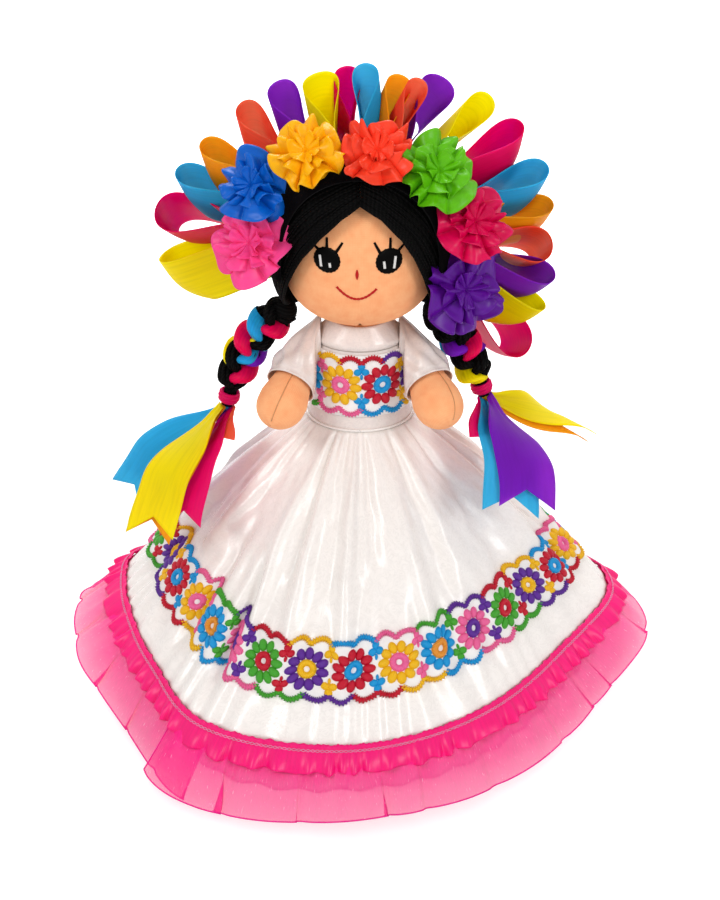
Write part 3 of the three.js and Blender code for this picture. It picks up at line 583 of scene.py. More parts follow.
# Embroidered band: daisies in six colours, clovers between them and a scalloped cord along each edge
band = {"width": 44.0, "shift": -4.5, "rise": 28.0, "flowers": 28, "thickness": 0.6,
        "petals": 11, "petalReach": 10.3, "petal": (4.3, 3.15), "petalHeight": 2.2,
        "ring": (1.8, 6.5), "ringHeight": 2.3,
        "cloverUp": 11.6, "leafReach": 2.8, "leaf": (3.0, 2.7), "stemDown": 4.8, "stem": (2.2, 1.1),
        "cloverHeight": 1.4, "cordUp": 15.9, "cordBow": 4.3, "cordRadius": 1.75, "cordStitches": 19,
        # petals, ring, top scallop for each flower in turn, left to right
        "cycle": [("red", "blue", "blue"), ("yellow", "pink", "pink"), ("blue", "orange", "green"),
                  ("pink", "purple", "purple"), ("green", "red", "red"), ("purple", "yellow", "yellow")]}
flossOrder = ["green", "red", "purple", "yellow", "blue", "pink", "orange"]
flossSlot = {name: i for i, name in enumerate(flossOrder)}


def daisyParts(numbers, pitch, shift):
    petals, rings, clovers, cords = {}, {}, {}, {}
    t = np.linspace(0, 1, 93)
    bow = band["cordUp"] + band["cordBow"] * np.abs(np.sin(2 * pi * t)) ** 0.8
    for k in numbers:
        petal, ring, edge = band["cycle"][k % 6]
        middle = k * pitch + shift
        for turn in 2 * pi * (np.arange(band["petals"]) + 0.3 * k) / band["petals"]:
            centre = np.array([middle, 0]) + band["petalReach"] * np.array([math.cos(turn), math.sin(turn)])
            petals.setdefault(petal, []).append((centre, band["petal"], turn))
        rings.setdefault(ring, []).append((middle, 0.0))
        leaves = clovers.setdefault("green" if ring == "orange" else ring, [])
        for up in (1, -1):
            base = np.array([middle + pitch / 2, up * band["cloverUp"]])
            for turn in (pi / 2, pi * 7 / 6, pi * 11 / 6):
                way = np.array([math.cos(turn), up * math.sin(turn)])
                leaves.append((base + band["leafReach"] * way, band["leaf"], math.atan2(way[1], way[0])))
            leaves.append((base - [0, up * band["stemDown"]], band["stem"], pi / 2))
        cords.setdefault(edge, []).append(np.stack([middle + pitch * (t - 0.5), bow], 1))
        cords.setdefault(petal, []).append(np.stack([middle + pitch * t, -bow], 1))
    parts = [domePart(*zip(*found), band["petalHeight"], 12, material=flossSlot[name])
             for name, found in petals.items()]
    parts += [ringPart(found, *band["ring"], band["ringHeight"], 22, flossSlot[name])
              for name, found in rings.items()]
    parts += [domePart(*zip(*found), band["cloverHeight"], 10, (1, 0.8, 0.4), material=flossSlot[name])
              for name, found in clovers.items()]
    ripple = band["cordRadius"] * (1 + 0.34 * np.cos(2 * pi * band["cordStitches"] * t))
    return parts + [stitchPart(found, ripple, flossSlot[name], 0.3) for name, found in cords.items()]


def bandShare(az, rise):  # from the cut length of the skirt between waist and seam
    length = np.linalg.norm(skirtMean(az, 0.0 * az) - skirtMean(az, 0.0 * az + 1), axis=-1)
    return 1 - rise / length


bandMiddle = band["rise"] + band["width"] / 2
roundAz = np.linspace(-pi, pi, 7201)
bandRun = runAlong(skirtCloth(roundAz, bandShare(roundAz, bandMiddle)))
bandLength = bandRun[-1]
bandRun -= np.interp(0, roundAz, bandRun)
skirtPitch = bandLength / band["flowers"]
print("band length", round(bandLength), "mm, flower pitch", round(skirtPitch, 1), "mm")


def onSkirtBand(a, b, h):
    a = (a - bandRun[0]) % bandLength + bandRun[0]
    az = np.interp(a, bandRun, roundAz)
    return lifted(lambda p, q: skirtCloth(p, bandShare(p, q)), az, bandMiddle + b, -(h + 1.1), 0.02)


def skirtBandCloth(u, v):
    a = u * bandLength - bandLength / 2
    scallop = np.abs(np.sin(2 * pi * (a - band["shift"]) / skirtPitch)) ** 0.7
    return onSkirtBand(a, (1 - 2 * v) * (band["cordUp"] + band["cordBow"] * scallop), 0 * u - 0.2)


bandPart = gridPart(skirtBandCloth, 900, 14, (bandLength, band["width"]), closed=True)
sheetPiece("skirtBand", bandPart, "body", bandCloth, "skirt_trim", band["width"],
           band["thickness"])
half = band["flowers"] // 2
flowers = lay(daisyParts(range(-half, half), skirtPitch, band["shift"]), onSkirtBand)
bandFlosses = [flosses[name] for name in flossOrder]
makePiece("skirtBandEmbroidery", flowers, "body", bandFlosses)
print("skirt band embroidered")


# Ruffle: sheer organza in folds below the seam, its ends lapped at the front left
ruffle = {"hemSide": 215.0, "hemFront": 221.0, "hemBack": 115.0, "hemHeight": 6.5, "panels": 30, "depth": 5.0,
          "lap": -39.0, "lapWidth": 9.0, "cut": 52.0, "satinWidth": 15.0, "satinThickness": 0.5, "gathers": 92,
          # how the hem hangs in or out of its oval, as for the skirt
          "hang": [(-180, 1), (-148, 1), (-135, 0.93), (-124, 0.88), (-115, 0.88), (-102, 0.95), (-90, 0.985),
                   (-69, 0.975), (-55, 0.955), (-42, 0.985), (-34, 1.05), (-27, 1.065), (-17, 1.04), (0, 1.0),
                   (16, 0.977), (30, 0.948), (41, 0.925), (56, 0.91), (70, 0.945), (80, 1.01), (90, 0.95),
                   (103, 0.87), (112, 0.86), (125, 0.92), (140, 1), (180, 1)]}
ruffleHang = hangTable(ruffle["hang"])


def ruffleMean(az, q, inset=0.0):
    side = lerp(skirt["seamSide"], ruffle["hemSide"], q) - inset
    front = lerp(skirt["seamFront"], ruffle["hemFront"], q)
    deep = np.where(np.cos(az) > 0, front, lerp(skirt["seamBack"], ruffle["hemBack"], q)) - inset
    pull = lerp(hangAt(skirtHang, az), hangAt(ruffleHang, az), np.clip(q, 0, 1.1))
    height = lerp(skirt["seamHeight"], ruffle["hemHeight"], q)
    return np.stack([side * pull * np.sin(az), -deep * pull * np.cos(az), height], -1)


# Petticoat: stiff white net in folds, which carries the skirt and stands on the floor
petticoat = {"inset": 20.0, "hidden": 3.4, "clear": 14.0, "clearWidth": 8.0, "folds": 44, "foldDepth": 1.6,
             "foot": 36.0, "footHeight": 0.5, "start": 0.06, "upper": 0.75, "thickness": 0.7, "cut": 240.0}


def petticoatCloth(u, v):
    az = 2 * pi * u
    above = np.clip(v / petticoat["upper"], 0, 1)
    s = lerp(petticoat["start"], 1, above)
    wave = petticoat["foldDepth"] * np.cos(petticoat["folds"] * az) * above
    deepCrease = bell(turnFrom(az, skirt["creases"][0][0]), math.radians(petticoat["clearWidth"]))
    inset = petticoat["inset"] * np.clip(np.sin(pi * s), 0, 1) ** 0.3 + petticoat["hidden"]
    top = skirtMean(az, s, petticoat["clear"] * deepCrease * np.sin(pi * s) + inset - wave)
    foot = ruffleMean(az, np.ones_like(az), petticoat["foot"] - wave)
    foot[:, 2] = petticoat["footHeight"]
    below = np.clip((v - petticoat["upper"]) / (1 - petticoat["upper"]), 0, 1)
    return lerp(top, foot, below[:, None])


petticoatPart = gridPart(petticoatCloth, 352, 40, (1150, petticoat["cut"]), closed=True)
sheetPiece("petticoatNet", petticoatPart, "body", whiteNet, "petticoat", petticoat["cut"],
           petticoat["thickness"])
print("skirt and petticoat made")


# The organza lies in broad panels that lap over each other; each runs forward, doubles back and goes on
randomRuffle = np.random.default_rng(21)
panelWidths = randomRuffle.uniform(0.45, 1.55, ruffle["panels"])
panelEdges = np.concatenate([[0], np.cumsum(panelWidths)]) / panelWidths.sum()
panelBow = randomRuffle.uniform(0.2, 1.0, ruffle["panels"] + 1)
panelLap = randomRuffle.uniform(-0.2, 1.0, ruffle["panels"] + 1)  # below nothing the panels only bend
panelStops = [0, 0.1, 0.8, 0.9, 1.0]
panelPaths = {"straight": [0, 0.12, 0.86, 0.94, 1.0], "doubled": [0, 0.12, 1.07, 0.93, 1.0],
              "under": [1, 0.3, 0, 1, 1]}


def ruffleCloth(u, q):
    start = 1 - ease(u, 0, 0.025)
    k = np.clip(np.searchsorted(panelEdges, u, side="right") - 1, 0, ruffle["panels"] - 1)
    panel = panelEdges[k + 1] - panelEdges[k]
    inPanel = (u - panelEdges[k]) / panel
    straight, doubled, under = [np.interp(inPanel, panelStops, path) for path in panelPaths.values()]
    under = under * ease(q, 0.0, 0.4)
    across = lerp(straight, doubled, np.clip(panelLap[k], 0, 1) * ease(q, 0.1, 1.1))
    share = panelEdges[k] + across * panel
    az = math.radians(ruffle["lap"]) + share * (2 * pi + math.radians(ruffle["lapWidth"]))
    bow = np.sin(pi * np.clip(across, 0, 1)) * panelBow[k]
    down = np.clip(q, 0, 1)
    ripple = 1.4 * np.sin(37 * az + 2.5 * np.sin(9 * az) + 2 * q) * np.sin(pi * down) ** 0.5
    p = ruffleMean(az, q, ruffle["depth"] * q * (0.6 - 0.5 * bow) + 1.5 * under - 7 * start * q + ripple)
    gathers = 0.8 * np.cos(120 * az + 3 * np.sin(14 * az)) * (1 - ease(q, 0.1, 0.7))
    p[:, 2] += gathers + 3.0 * bow * np.sin(pi * down) + 3.0 * start * down ** 0.5
    p[:, 2] += q * (0.9 * (1 - under) + 1.6 * np.sin(5 * az + 1) + 1.2 * bow)
    return p


rufflePart = gridPart(ruffleCloth, 1040, 14, (1500, ruffle["cut"]))
rufflePiece = sheetPiece("organzaRuffle", rufflePart, "body", pinkOrganza, "ruffle_organza",
                         ruffle["cut"])

# Rolled hem of the organza, and its rolled end at the lap
hemU = np.linspace(0, 1, 1041)
hemLine = ruffleCloth(hemU, np.ones_like(hemU))
hemLine[:, 2] = np.maximum(hemLine[:, 2], 1.0)
endQ = np.linspace(0.05, 1, 40)
endLine = ruffleCloth(np.zeros_like(endQ), endQ)
hemParts = [tubePart(line[None], 0.5, 5) for line in (hemLine, endLine)]
hemPiece = makePiece("rolledHem", hemParts, "body", [hemThread])
for sheer in (rufflePiece, hemPiece):
    sheer.visible_shadow = False  # organza lets most of the light through


# Satin header: a narrow gathered satin strip over the top of the organza, with a frill above its stitching
def satinHeader(u, v):
    az = 2 * pi * u
    q = lerp(-0.035, 0.33, v)
    phase = ruffle["gathers"] * (az + 0.03 * np.sin(7 * az) + 0.02 * np.sin(17 * az + 1))
    gather = np.cos(phase + 1.2 * np.sin(0.23 * phase)) + 0.6 * np.cos(0.61 * phase + 1)
    gather += 0.35 * np.cos(1.63 * phase)
    tucks = np.cos(2.9 * phase + 2 * np.sin(11 * az))
    away = np.abs(q) / 0.34
    puff = np.sin(pi * np.clip(q / 0.34, 0, 1))
    out = 2.2 + 1.3 * gather * (0.25 + 1.1 * away) + 0.25 * tucks * bell(q, 0.12) + 1.6 * puff
    p = ruffleMean(az, q, -out)
    drop = 0.9 * gather * away - np.where(q < 0, 0.3 * tucks, 1.1 * np.cos(0.62 * phase + 1) * away)
    p[:, 2] += 1.2 + drop
    return p


headerPart = gridPart(satinHeader, 1000, 12, (1300, ruffle["satinWidth"]), closed=True)
sheetPiece("satinHeader", headerPart, "body", pinkSatin, "ruffle_satin", ruffle["satinWidth"],
           ruffle["satinThickness"])
stitchAz = np.linspace(0, 2 * pi, 1401)
chainSway = 0.014 * np.cos(2 * pi * np.arange(1401) / 7.0)
chains = [lifted(lambda p, q: ruffleMean(p, q, -3.6), stitchAz, side * chainSway + 0.012,
                 np.ones_like(stitchAz), 2e-3) for side in (-1, 1)]
makePiece("chainStitch", [tubePart(chains, 0.28, 5)], "body", [flosses["palePink"]])
print("ruffle made")


# Bodice: white satin over the stuffed torso, gathered at the neck into a yoke seam
# The torso's profile from seat to neck: height, half width, half depth
torsoProfile = [(128.0, 25.0, 18.0), (147.0, 33.0, 26.0), (171.0, 34.0, 27.0), (200.0, 28.5, 23.5),
                (231.0, 28.5, 21.0), (243.0, 17.0, 15.0)]
torsoHeights, torsoSides, torsoDepths = zip(*torsoProfile)
neckHeight = torsoHeights[-1]


def torsoSkin(az, z, offset):
    side = np.interp(z, torsoHeights, torsoSides) + offset
    deep = np.interp(z, torsoHeights, torsoDepths) + offset
    return np.stack([side * np.sin(az), -deep * np.cos(az), z + 0 * az], -1)


def torsoStuffed(u, v):
    p = torsoSkin(2 * pi * u, lerp(127.0, neckHeight, v), -0.3)
    close = np.where(v < 0.001, 0.05, np.where(v > 0.999, 0.9, 1))
    p[:, :2] *= close[:, None]
    return p


torsoPart = gridPart(torsoStuffed, 96, 48, (200, 116), closed=True)
stuffedPiece("torsoStuffed", [torsoPart], "body", [skinCotton], "torso")

bodice = {"thickness": 0.6, "yokeDrop": 15.0, "gathers": 46, "cut": 74.0, "bandDrop": 39.0, "bandReach": 34.0,
          "bandPitch": 28.0, "bandShift": -15.0}


def bodiceCloth(u, v):
    az = 2 * pi * u
    z = lerp(neckHeight, skirt["waistHeight"], v)
    below = neckHeight - z - bodice["yokeDrop"]
    gather = np.cos(bodice["gathers"] * az + 2 * np.sin(3 * az))
    fold = 0.45 * gather * ease(below, 0, 6) * (1 - ease(below, 25, 51)) - 0.9 * bell(below, 1.1)
    return torsoSkin(az, z, 1.3 + fold)


# Yoke seam: a thin dark taupe line, partly its stitches and partly painted shade in the seam
yokeAz = np.linspace(0, 2 * pi, 121)
yokeLine = torsoSkin(yokeAz, 0 * yokeAz + neckHeight - bodice["yokeDrop"], 1.25)
makePiece("yokeStitchPaintedShade", [tubePart([yokeLine], 0.22, 5)], "body", [flosses["taupe"]])
bodicePart = gridPart(bodiceCloth, 240, 60, (185, bodice["cut"]), closed=True)
sheetPiece("bodiceCloth", bodicePart, "body", paintedShadeSatin, "bodice", bodice["cut"],
           bodice["thickness"])

# The bodice's band is the same trim turned upside down, from under one arm to the other
frontAz = np.linspace(-1.4, 1.4, 801)
frontRun = runAlong(torsoSkin(frontAz, 0 * frontAz + neckHeight - bodice["bandDrop"], 2.2))
frontRun -= frontRun[400]
frontReach = bodice["bandReach"]


def onBodice(a, b, h):
    az = np.interp(a, frontRun, frontAz)
    return lifted(lambda p, q: torsoSkin(p, neckHeight - q, 2.0), az, bodice["bandDrop"] - b, h + 0.5, 0.02)


def onBodiceTurned(a, b, h):
    return onBodice(-a, -b, h)


def bodiceBandCloth(u, v):
    return onBodice(lerp(-frontReach, frontReach, u), (0.5 - v) * band["width"], 0 * u)


bodiceBandPart = gridPart(bodiceBandCloth, 60, 14, (2 * frontReach, band["width"]))
sheetPiece("bodiceBand", bodiceBandPart, "body", bandCloth, "bodice_trim", band["width"],
           band["thickness"])
frontFlowers = daisyParts(range(-2, 3), bodice["bandPitch"], bodice["bandShift"])
for part in frontFlowers:  # cut the band's flowers where its ends are sewn down
    reach = np.abs(part["points"][:, 0])
    inside = [reach[faces].max(1) < frontReach for faces, _ in part["blocks"]]
    part["blocks"] = [(faces[kept], uv[kept]) for (faces, uv), kept in zip(part["blocks"], inside)]
makePiece("bodiceBandEmbroidery", lay(frontFlowers, onBodiceTurned), "body", bandFlosses)
print("bodice made")


# Head: stuffed cotton with a short dart under the chin and an embroidered face
head = {"wide": 50.0, "deep": 44.0, "high": 58.0, "cheek": 46.0, "centre": 289.3, "square": 2.4, "hair": 8.0}
headCentre = np.array([0, 0, head["centre"]])


def headReach(way, offset=0.0):
    high = np.where(way[..., 2] > 0, head["high"], head["cheek"]) + offset
    level = np.hypot(way[..., 0] / (head["wide"] + offset), way[..., 1] / (head["deep"] + offset))
    upright = np.abs(way[..., 2]) / high
    return (level ** head["square"] + upright ** head["square"]) ** (-1 / head["square"])


def headPoint(way, offset=0.0):
    way = unit(way)
    return way * headReach(way, offset)[..., None] + headCentre


def headFront(x, z, offset=0.0):
    rise = z - head["centre"]
    high = np.where(rise > 0, head["high"], head["cheek"]) + offset
    left = np.clip(1 - (np.abs(rise) / high) ** head["square"], 0, 1) ** (1 / head["square"])
    side = x / (head["wide"] + offset)
    deep = (head["deep"] + offset) * np.sqrt(np.clip(left ** 2 - side ** 2, 1e-6, None))
    return np.stack([x + 0 * deep, -deep, z + 0 * deep], -1)


def headAt(angle, y, offset):  # on the head's outline at depth y, by degrees from straight up
    angle, y = np.broadcast_arrays(np.radians(np.asarray(angle, float)), np.asarray(y, float))
    low, high = np.zeros(angle.shape), np.full(angle.shape, 200.0)
    for _ in range(42):
        middle = (low + high) / 2
        way = np.stack([middle * np.sin(angle), y, middle * np.cos(angle)], -1)
        inside = headReach(way, offset) > 1
        low, high = np.where(inside, middle, low), np.where(inside, high, middle)
    return np.stack([low * np.sin(angle), y, head["centre"] + low * np.cos(angle)], -1)


def headStuffed(u, v):
    az, lift = 2 * pi * u, pi * (v - 0.5)
    p = headPoint(np.stack([np.cos(lift) * np.sin(az), -np.cos(lift) * np.cos(az), np.sin(lift)], -1))
    dart = bell(p[:, 0], 1.1) * ease(p[:, 1], 0, -8) * (1 - ease(p[:, 2], 251, 256))
    return p - (p - headCentre) * (0.03 * dart)[:, None]


headPart = gridPart(headStuffed, 240, 110, (300, 160), closed=True)
stuffedPiece("headStuffed", [headPart], "head", [skinCotton], "head", headFill)

face = {"eyes": [(-20.1, 301.8), (17.7, 301.5)], "eyeRadius": 8.2, "nose": (-1.8, 293.9),
        "mouthEnds": (-14.3, 10.2), "mouthHeight": 284.4, "smile": 7.4,
        # strokes of each eye, from and to, as across and up from its middle
        "lashes": [[(-5.2, 5.8, -8.4, 8.3), (0, 8.0, 0.1, 13.9), (5.6, 5.8, 9.6, 11.9)],
                   [(-5.4, 5.6, -9.1, 12.5), (0.7, 8.0, 0.7, 14.2), (5.6, 5.6, 9.2, 9.0)]],
        "glints": [[(-3.8, 3.1, -3.0, -4.0), (2.0, -1.0, 2.4, -3.8)],
                   [(-3.4, 0.8, -2.9, -3.8), (3.5, 3.1, 2.6, -4.4)]]}


def eyeStrokes(kind, start):
    t = np.linspace(start, 1, 9)
    return [np.stack([x + lerp(x0, x1, t), z + lerp(z0, z1, t)], 1)
            for (x, z), marks in zip(face["eyes"], face[kind]) for x0, z0, x1, z1 in marks]


def onFace(a, b, h):
    return lifted(headFront, a, b, -(h + 0.15), 0.05)


eyeHalves = [(face["eyeRadius"],) * 2] * 2
t = np.linspace(0, 1, 33)
smile = face["mouthHeight"] - face["smile"] * np.sin(pi * t) ** 0.9 + 1.0 * (0.5 - t)
mouth = np.stack([lerp(*face["mouthEnds"], t), smile], 1)
n = np.linspace(-1, 1, 17)
nose = np.stack([face["nose"][0] + 0 * n, face["nose"][1] + 3.3 * n], 1)
faceParts = [domePart(face["eyes"], eyeHalves, [0, 0], 1.5, 60, (1, 0.95, 0.8, 0.45), 20, 0.025),
             stitchPart(eyeStrokes("lashes", -0.12), np.sqrt(np.linspace(1, 0.45, 9))),
             stitchPart(eyeStrokes("glints", 0), 0.8, 1, 1.3),
             stitchPart([mouth], 0.8 * (1 + 0.2 * np.cos(2 * pi * 11 * t)), 2),
             stitchPart([nose], 0.25 + 0.75 * (1 - n ** 2), 2)]
makePiece("faceEmbroidery", lay(faceParts, onFace), "head",
          [flosses["black"], flosses["white"], flosses["scarlet"]])
print("head and face made")


# Hair: yarn laid from the middle parting down to each braid, over a sewn-down cap
hair = {"strands": 124, "yarn": 0.85, "root": (49.0, 1.0, 248.0), "parting": (48.0, 216.0), "knee": 0.72,
        # the hairline from the parting to the cheek, as distance from the middle and height
        "line": {-1: [(0, 337.5), (12, 329.5), (25, 317), (36, 302.5), (41, 292.5), (45.5, 281),
                      (48.5, 266)],
                 1: [(0, 337.5), (13.5, 329.5), (26, 316), (33.5, 303.5), (39.5, 289), (43.5, 274),
                     (47, 262)]}}


def hairPath(side, share, t, offset):
    share, t = np.broadcast_arrays(np.asarray(share, float), np.asarray(t, float))
    turn = np.radians(lerp(*hair["parting"], share))
    start = np.stack([0.012 * side + 0 * turn, -np.cos(turn), np.sin(turn)], -1)
    root = unit(np.array(hair["root"]) * [side, 1, 1] - headCentre)
    arc = headPoint(unit(start) * (1 - t)[..., None] + root * t[..., None], offset)
    knee = np.clip(t / hair["knee"], 0, 1)
    line = np.array(hair["line"][side], float)
    stops = np.linspace(0, 1, len(line))
    x, z = [np.interp(knee, stops, column) for column in line.T]
    edge = headFront(side * x, z, offset) - headCentre
    tail = ease(t, 0.62, 1)[..., None]
    edge = headPoint(unit(edge) * (1 - tail) + root * tail, offset)
    near = (1 - ease(share, 0.0, 0.34))[..., None]
    return headPoint(arc * (1 - near) + edge * near - headCentre, offset)


randomHair = np.random.default_rng(11)
hairParts = []
for side in (-1, 1):
    cap = gridPart(lambda u, v: hairPath(side, u, v * 0.98, head["hair"] - 1.4), 60, 24, (120, 90))
    if side > 0:
        cap["blocks"] = [(faces[:, ::-1], uv[:, ::-1]) for faces, uv in cap["blocks"]]
    t = np.linspace(0, 0.985, 26)
    lines = []
    for k, share in enumerate(np.linspace(0, 1, hair["strands"])):
        sway = np.sin(2 * pi * (t * randomHair.uniform(0.5, 1.5) + randomHair.uniform())) * (0 < k)
        lift = head["hair"] - 0.6 + randomHair.uniform(-0.5, 0.4)
        lines.append(hairPath(side, np.clip(share + 0.006 * sway, 0, 1), t, lift))
    hairParts += [cap, tubePart(lines, hair["yarn"] * np.linspace(1.0, 0.8, 26), 6)]
makePiece("hairYarn", hairParts, "head", [hairYarn], ["hair_cap"])
print("hair laid")


# Crown band: black felt that the loops and rosettes are sewn to
crown = {"offset": 11.6, "front": -31.0, "back": 27.0, "angles": (-98.0, 116.0), "thickness": 1.8,
         "cut": 58.0}


def crownFelt(u, v):
    return headAt(lerp(*crown["angles"], u), lerp(crown["front"], crown["back"], v), crown["offset"] - 1.2)


feltPart = gridPart(crownFelt, 120, 20, (260, crown["cut"]))
sheetPiece("crownFelt", feltPart, "head", blackFelt, "crown_band", crown["cut"],
           crown["thickness"])

# Ribbon loops: each a length of satin ribbon folded over and gathered at its foot, its front edge spread open
ribbonWidth = 38.0
loops = {"colours": ["yellow", "crimson", "sky", "orange", "coral", "purple"], "depth": 19.0, "lean": 20.0,
         "pinch": 24.0, "thickness": 0.45, "gatherShare": 0.86,
         # degrees round from straight up, mm from the head's middle to the tip
         "angles": [-106.4, -87.6, -74.9, -62.4, -44.5, -28.1, -15.1, -6.4, 3.2, 12.7, 18.5, 26.4, 40.4, 59.4,
                    75, 87, 97.3, 106.6, 118.7, 130],
         "reaches": [133, 130.8, 118.4, 108.7, 101.7, 97.7, 93.2, 91.4, 95.1, 90.8, 93.8, 98.9, 105.3, 116,
                     122.5, 123.7, 124.7, 130.2, 134.6, 146.3],
         # mm further back, and degrees of backward lean, of the loops that differ from the rest
         "setBack": {19: 9, 20: 12.5, 14: 5, 12: 8, 11: -3, 10: 3, 8: 8, 7: -2},
         "ownLean": {17: 14.0, 18: 8.0, 19: 4.0, 20: 4.0},
         # mm across each mouth, degrees by which it tips back to its foot, degrees of twist to its right,
         # and the share by which the two legs turn their outsides forward
         "mouths": [24, 25, 17, 16, 18, 18, 22, 16, 16, 15, 13, 21, 16, 18, 17, 15, 22, 17, 13, 26],
         "tips": [12, 7, 12, 16, 26, 36, 44, 42, 44, 42, 42, 30, 44, 14, 10, 8, 6, 8, 10, 8],
         "twists": [-58, -9, -21, -25, -21, -10, -8, -12, 11, -12, -11, -14, -9, 27, 20, 20, 8, 20, 36, 12],
         "splays": [0, 0.05, 0.1, 0.15, 0.25, 0.2, 0.1, 0.1, 0.15, 0.15, 0.1, 0.2, 0.15, 0.15, 0.1, 0.1, 0.05,
                    0.1, 0, 0.05]}
randomLoop = np.random.default_rng(5)
sight = unit([0, 0.8387, -0.5446])  # from the photograph's eye to the doll


def ribbonLoop(number):
    angle, reach, mouth, tips, twists, splay = [loops[key][number - 1] for key in (
        "angles", "reaches", "mouths", "tips", "twists", "splays")]
    turn, tipped, twist = np.radians([angle, tips, twists])
    mouth *= randomLoop.uniform(0.95, 1.05)
    depth = loops["depth"] + loops["setBack"].get(number, 0)
    seat = headAt(np.clip(angle * 0.93, -95, 114), depth - 4.0, crown["offset"] - 0.2)
    rise = reach - math.hypot(seat[0], seat[2] - head["centre"])
    lean = math.radians(loops["ownLean"].get(number, loops["lean"]))
    tip = headCentre + [reach * math.sin(turn), depth + rise * math.tan(lean), reach * math.cos(turn)]
    length = np.linalg.norm(seat - tip)
    out = unit(tip - [seat[0], depth, seat[2]])
    seen = unit(out - sight * float(out @ sight))
    right = np.cross(sight, seen)
    # from the ribbon's front edge to its rear edge
    across = sight * math.cos(tipped) * math.cos(twist) - seen * math.sin(tipped) + right * math.sin(twist)
    across = unit(across)
    slant = -float(across @ out)
    wide = unit(across + out * slant)
    flat = math.sqrt(1 - slant * slant)
    aside = np.cross(wide, out)
    base = seat + wide * 4.0
    sway = randomLoop.uniform(-1, 1) * 1.5
    rounding = 0.24 * min(1, abs(twists) / 40)  # its rear edge is drawn in at the tip

    def ribbon(u, v):
        t = 2 * pi * u
        height = length * (1 - np.cos(t)) / 2 * (1 - 0.05 * v - rounding * v ** 4)
        share = np.abs(np.sin(t / 2))
        swell = 0.9 * np.sin(t) * share ** 3.2 * lerp(1.05, 0.6, v)
        spread = lerp(loops["pinch"], ribbonWidth, share ** 0.55) * (v - 0.5)
        pleat = 0.7 * np.cos(3 * pi * (v - 0.5)) * (1 - share) ** 2
        opened = mouth * swell + 0.5 * (1 - 2 * u) + pleat + sway * share ** 2
        opened += np.sign(1 - 2 * u) * splay * ribbonWidth * v * 1.6 * share * (1 - share ** 2)
        return (base + out * (height - spread * slant * share)[:, None] + aside * opened[:, None]
                + wide * (spread * lerp(1, flat, share))[:, None])

    return turnUv(gridPart(ribbon, 48, 10, (2 * length, ribbonWidth)))


for number in range(1, 21):
    part = ribbonLoop(number)
    colour = loops["colours"][(number - 1) % 6]
    piece = makePiece(f"loop{number:02d}{colour.capitalize()}", [part], "head", [ribbons[colour]],
                      [f"ribbon_loop_{number:02d}"], loops["thickness"], 1)
    area = sheetArea(part)  # the gathered foot takes up the rest of the ribbon's length
print("ribbon loops made")


# Rosettes: satin gathered along one edge to a point and coiled, in three rounds of loose folds
rosettes = {"front": -28.0, "depth": -20.0, "thickness": 0.5, "towardsView": (0, -0.8, 0.6),
            # degrees round the crown to the foot, then the middle's place across and up, and the radius
            "places": {"pink": (-88, -68.5, 308, 25.5), "blue": (-55, -66, 346, 21.5),
                       "gold": (-23, -32.5, 367.5, 22), "coral": (7, 10.5, 368, 21.5),
                       "green": (38, 48, 355, 23.5), "magenta": (70, 70.5, 322, 24),
                       "purple": (104, 67, 275.5, 27.5)},
            # each round: reach, height at its edge above the middle, depth of its folds
            "rounds": [(1.0, -5.0, 5.4), (0.72, 0.5, 5.0), (0.42, 3.0, 3.4)]}
randomRose = np.random.default_rng(3)


def rosetteParts(colour):
    angle, x, z, full = rosettes["places"][colour]
    seat = headAt(angle, rosettes["depth"], crown["offset"])
    middle = np.array([x, rosettes["front"], z])
    facing = unit(unit(middle - headCentre) * 0.75 + unit(rosettes["towardsView"]))
    right = unit(np.cross([0, 1, 0.3], facing))
    up = np.cross(facing, right)
    parts = []
    for share, rise, deep in rosettes["rounds"]:
        few, some, many = randomRose.integers([2, 7, 12], [5, 10, 17])
        phases = randomRose.uniform(0, 2 * pi, 6)
        radius = full * share

        def gathered(u, v):
            turn = 2 * pi * u
            fold = 0.4 * np.sin(few * turn + phases[0]) + 0.15 * np.sin(many * turn + phases[2])
            drift = 0.8 * np.sin(turn + phases[2]) + 0.35 * np.sin(2 * turn + phases[3])
            crease = np.abs(np.sin(some * turn / 2 + phases[1] + drift)) ** 0.65
            fold += 0.95 * (2 * crease - 1.1)
            edge = 1 + 0.06 * np.sin(few * turn + phases[3]) + 0.04 * np.sin(some * turn + phases[4])
            r = radius * edge * v ** 0.9 * (1 + 0.07 * fold * v)
            height = rise * v ** 1.3 + deep * fold * v ** 1.1 * (0.55 + 0.45 * v) - 2.2 * bell(v, 0.14)
            height += 1.6 * ease(v, 0.75, 1) * np.sin(some * turn + phases[5])
            swirl = turn + 0.6 * v * np.sin(few * turn + phases[5]) / few
            return around(middle + facing * height[:, None], right, up, swirl, r)

        parts.append(turnUv(gridPart(gathered, 260, 16, (2 * pi * radius, radius), closed=True)))
    stem = seat + (middle - facing * 3.0 - seat) * np.linspace(0, 1, 6)[:, None]
    return parts, tubePart(stem[None], np.linspace(9, 4, 6), 12)


for colour in rosettes["places"]:
    parts, stem = rosetteParts(colour)
    name = colour.capitalize()
    piece = makePiece(f"rosette{name}", parts, "head", [gatheredRibbons[colour]],
                      [f"rosette_{colour}"], rosettes["thickness"])
    total = sum(sheetArea(part) for part in parts)
    makePiece(f"rosetteFoot{name}", [stem], "head", [gatheredRibbons[colour]])
print("rosettes made")


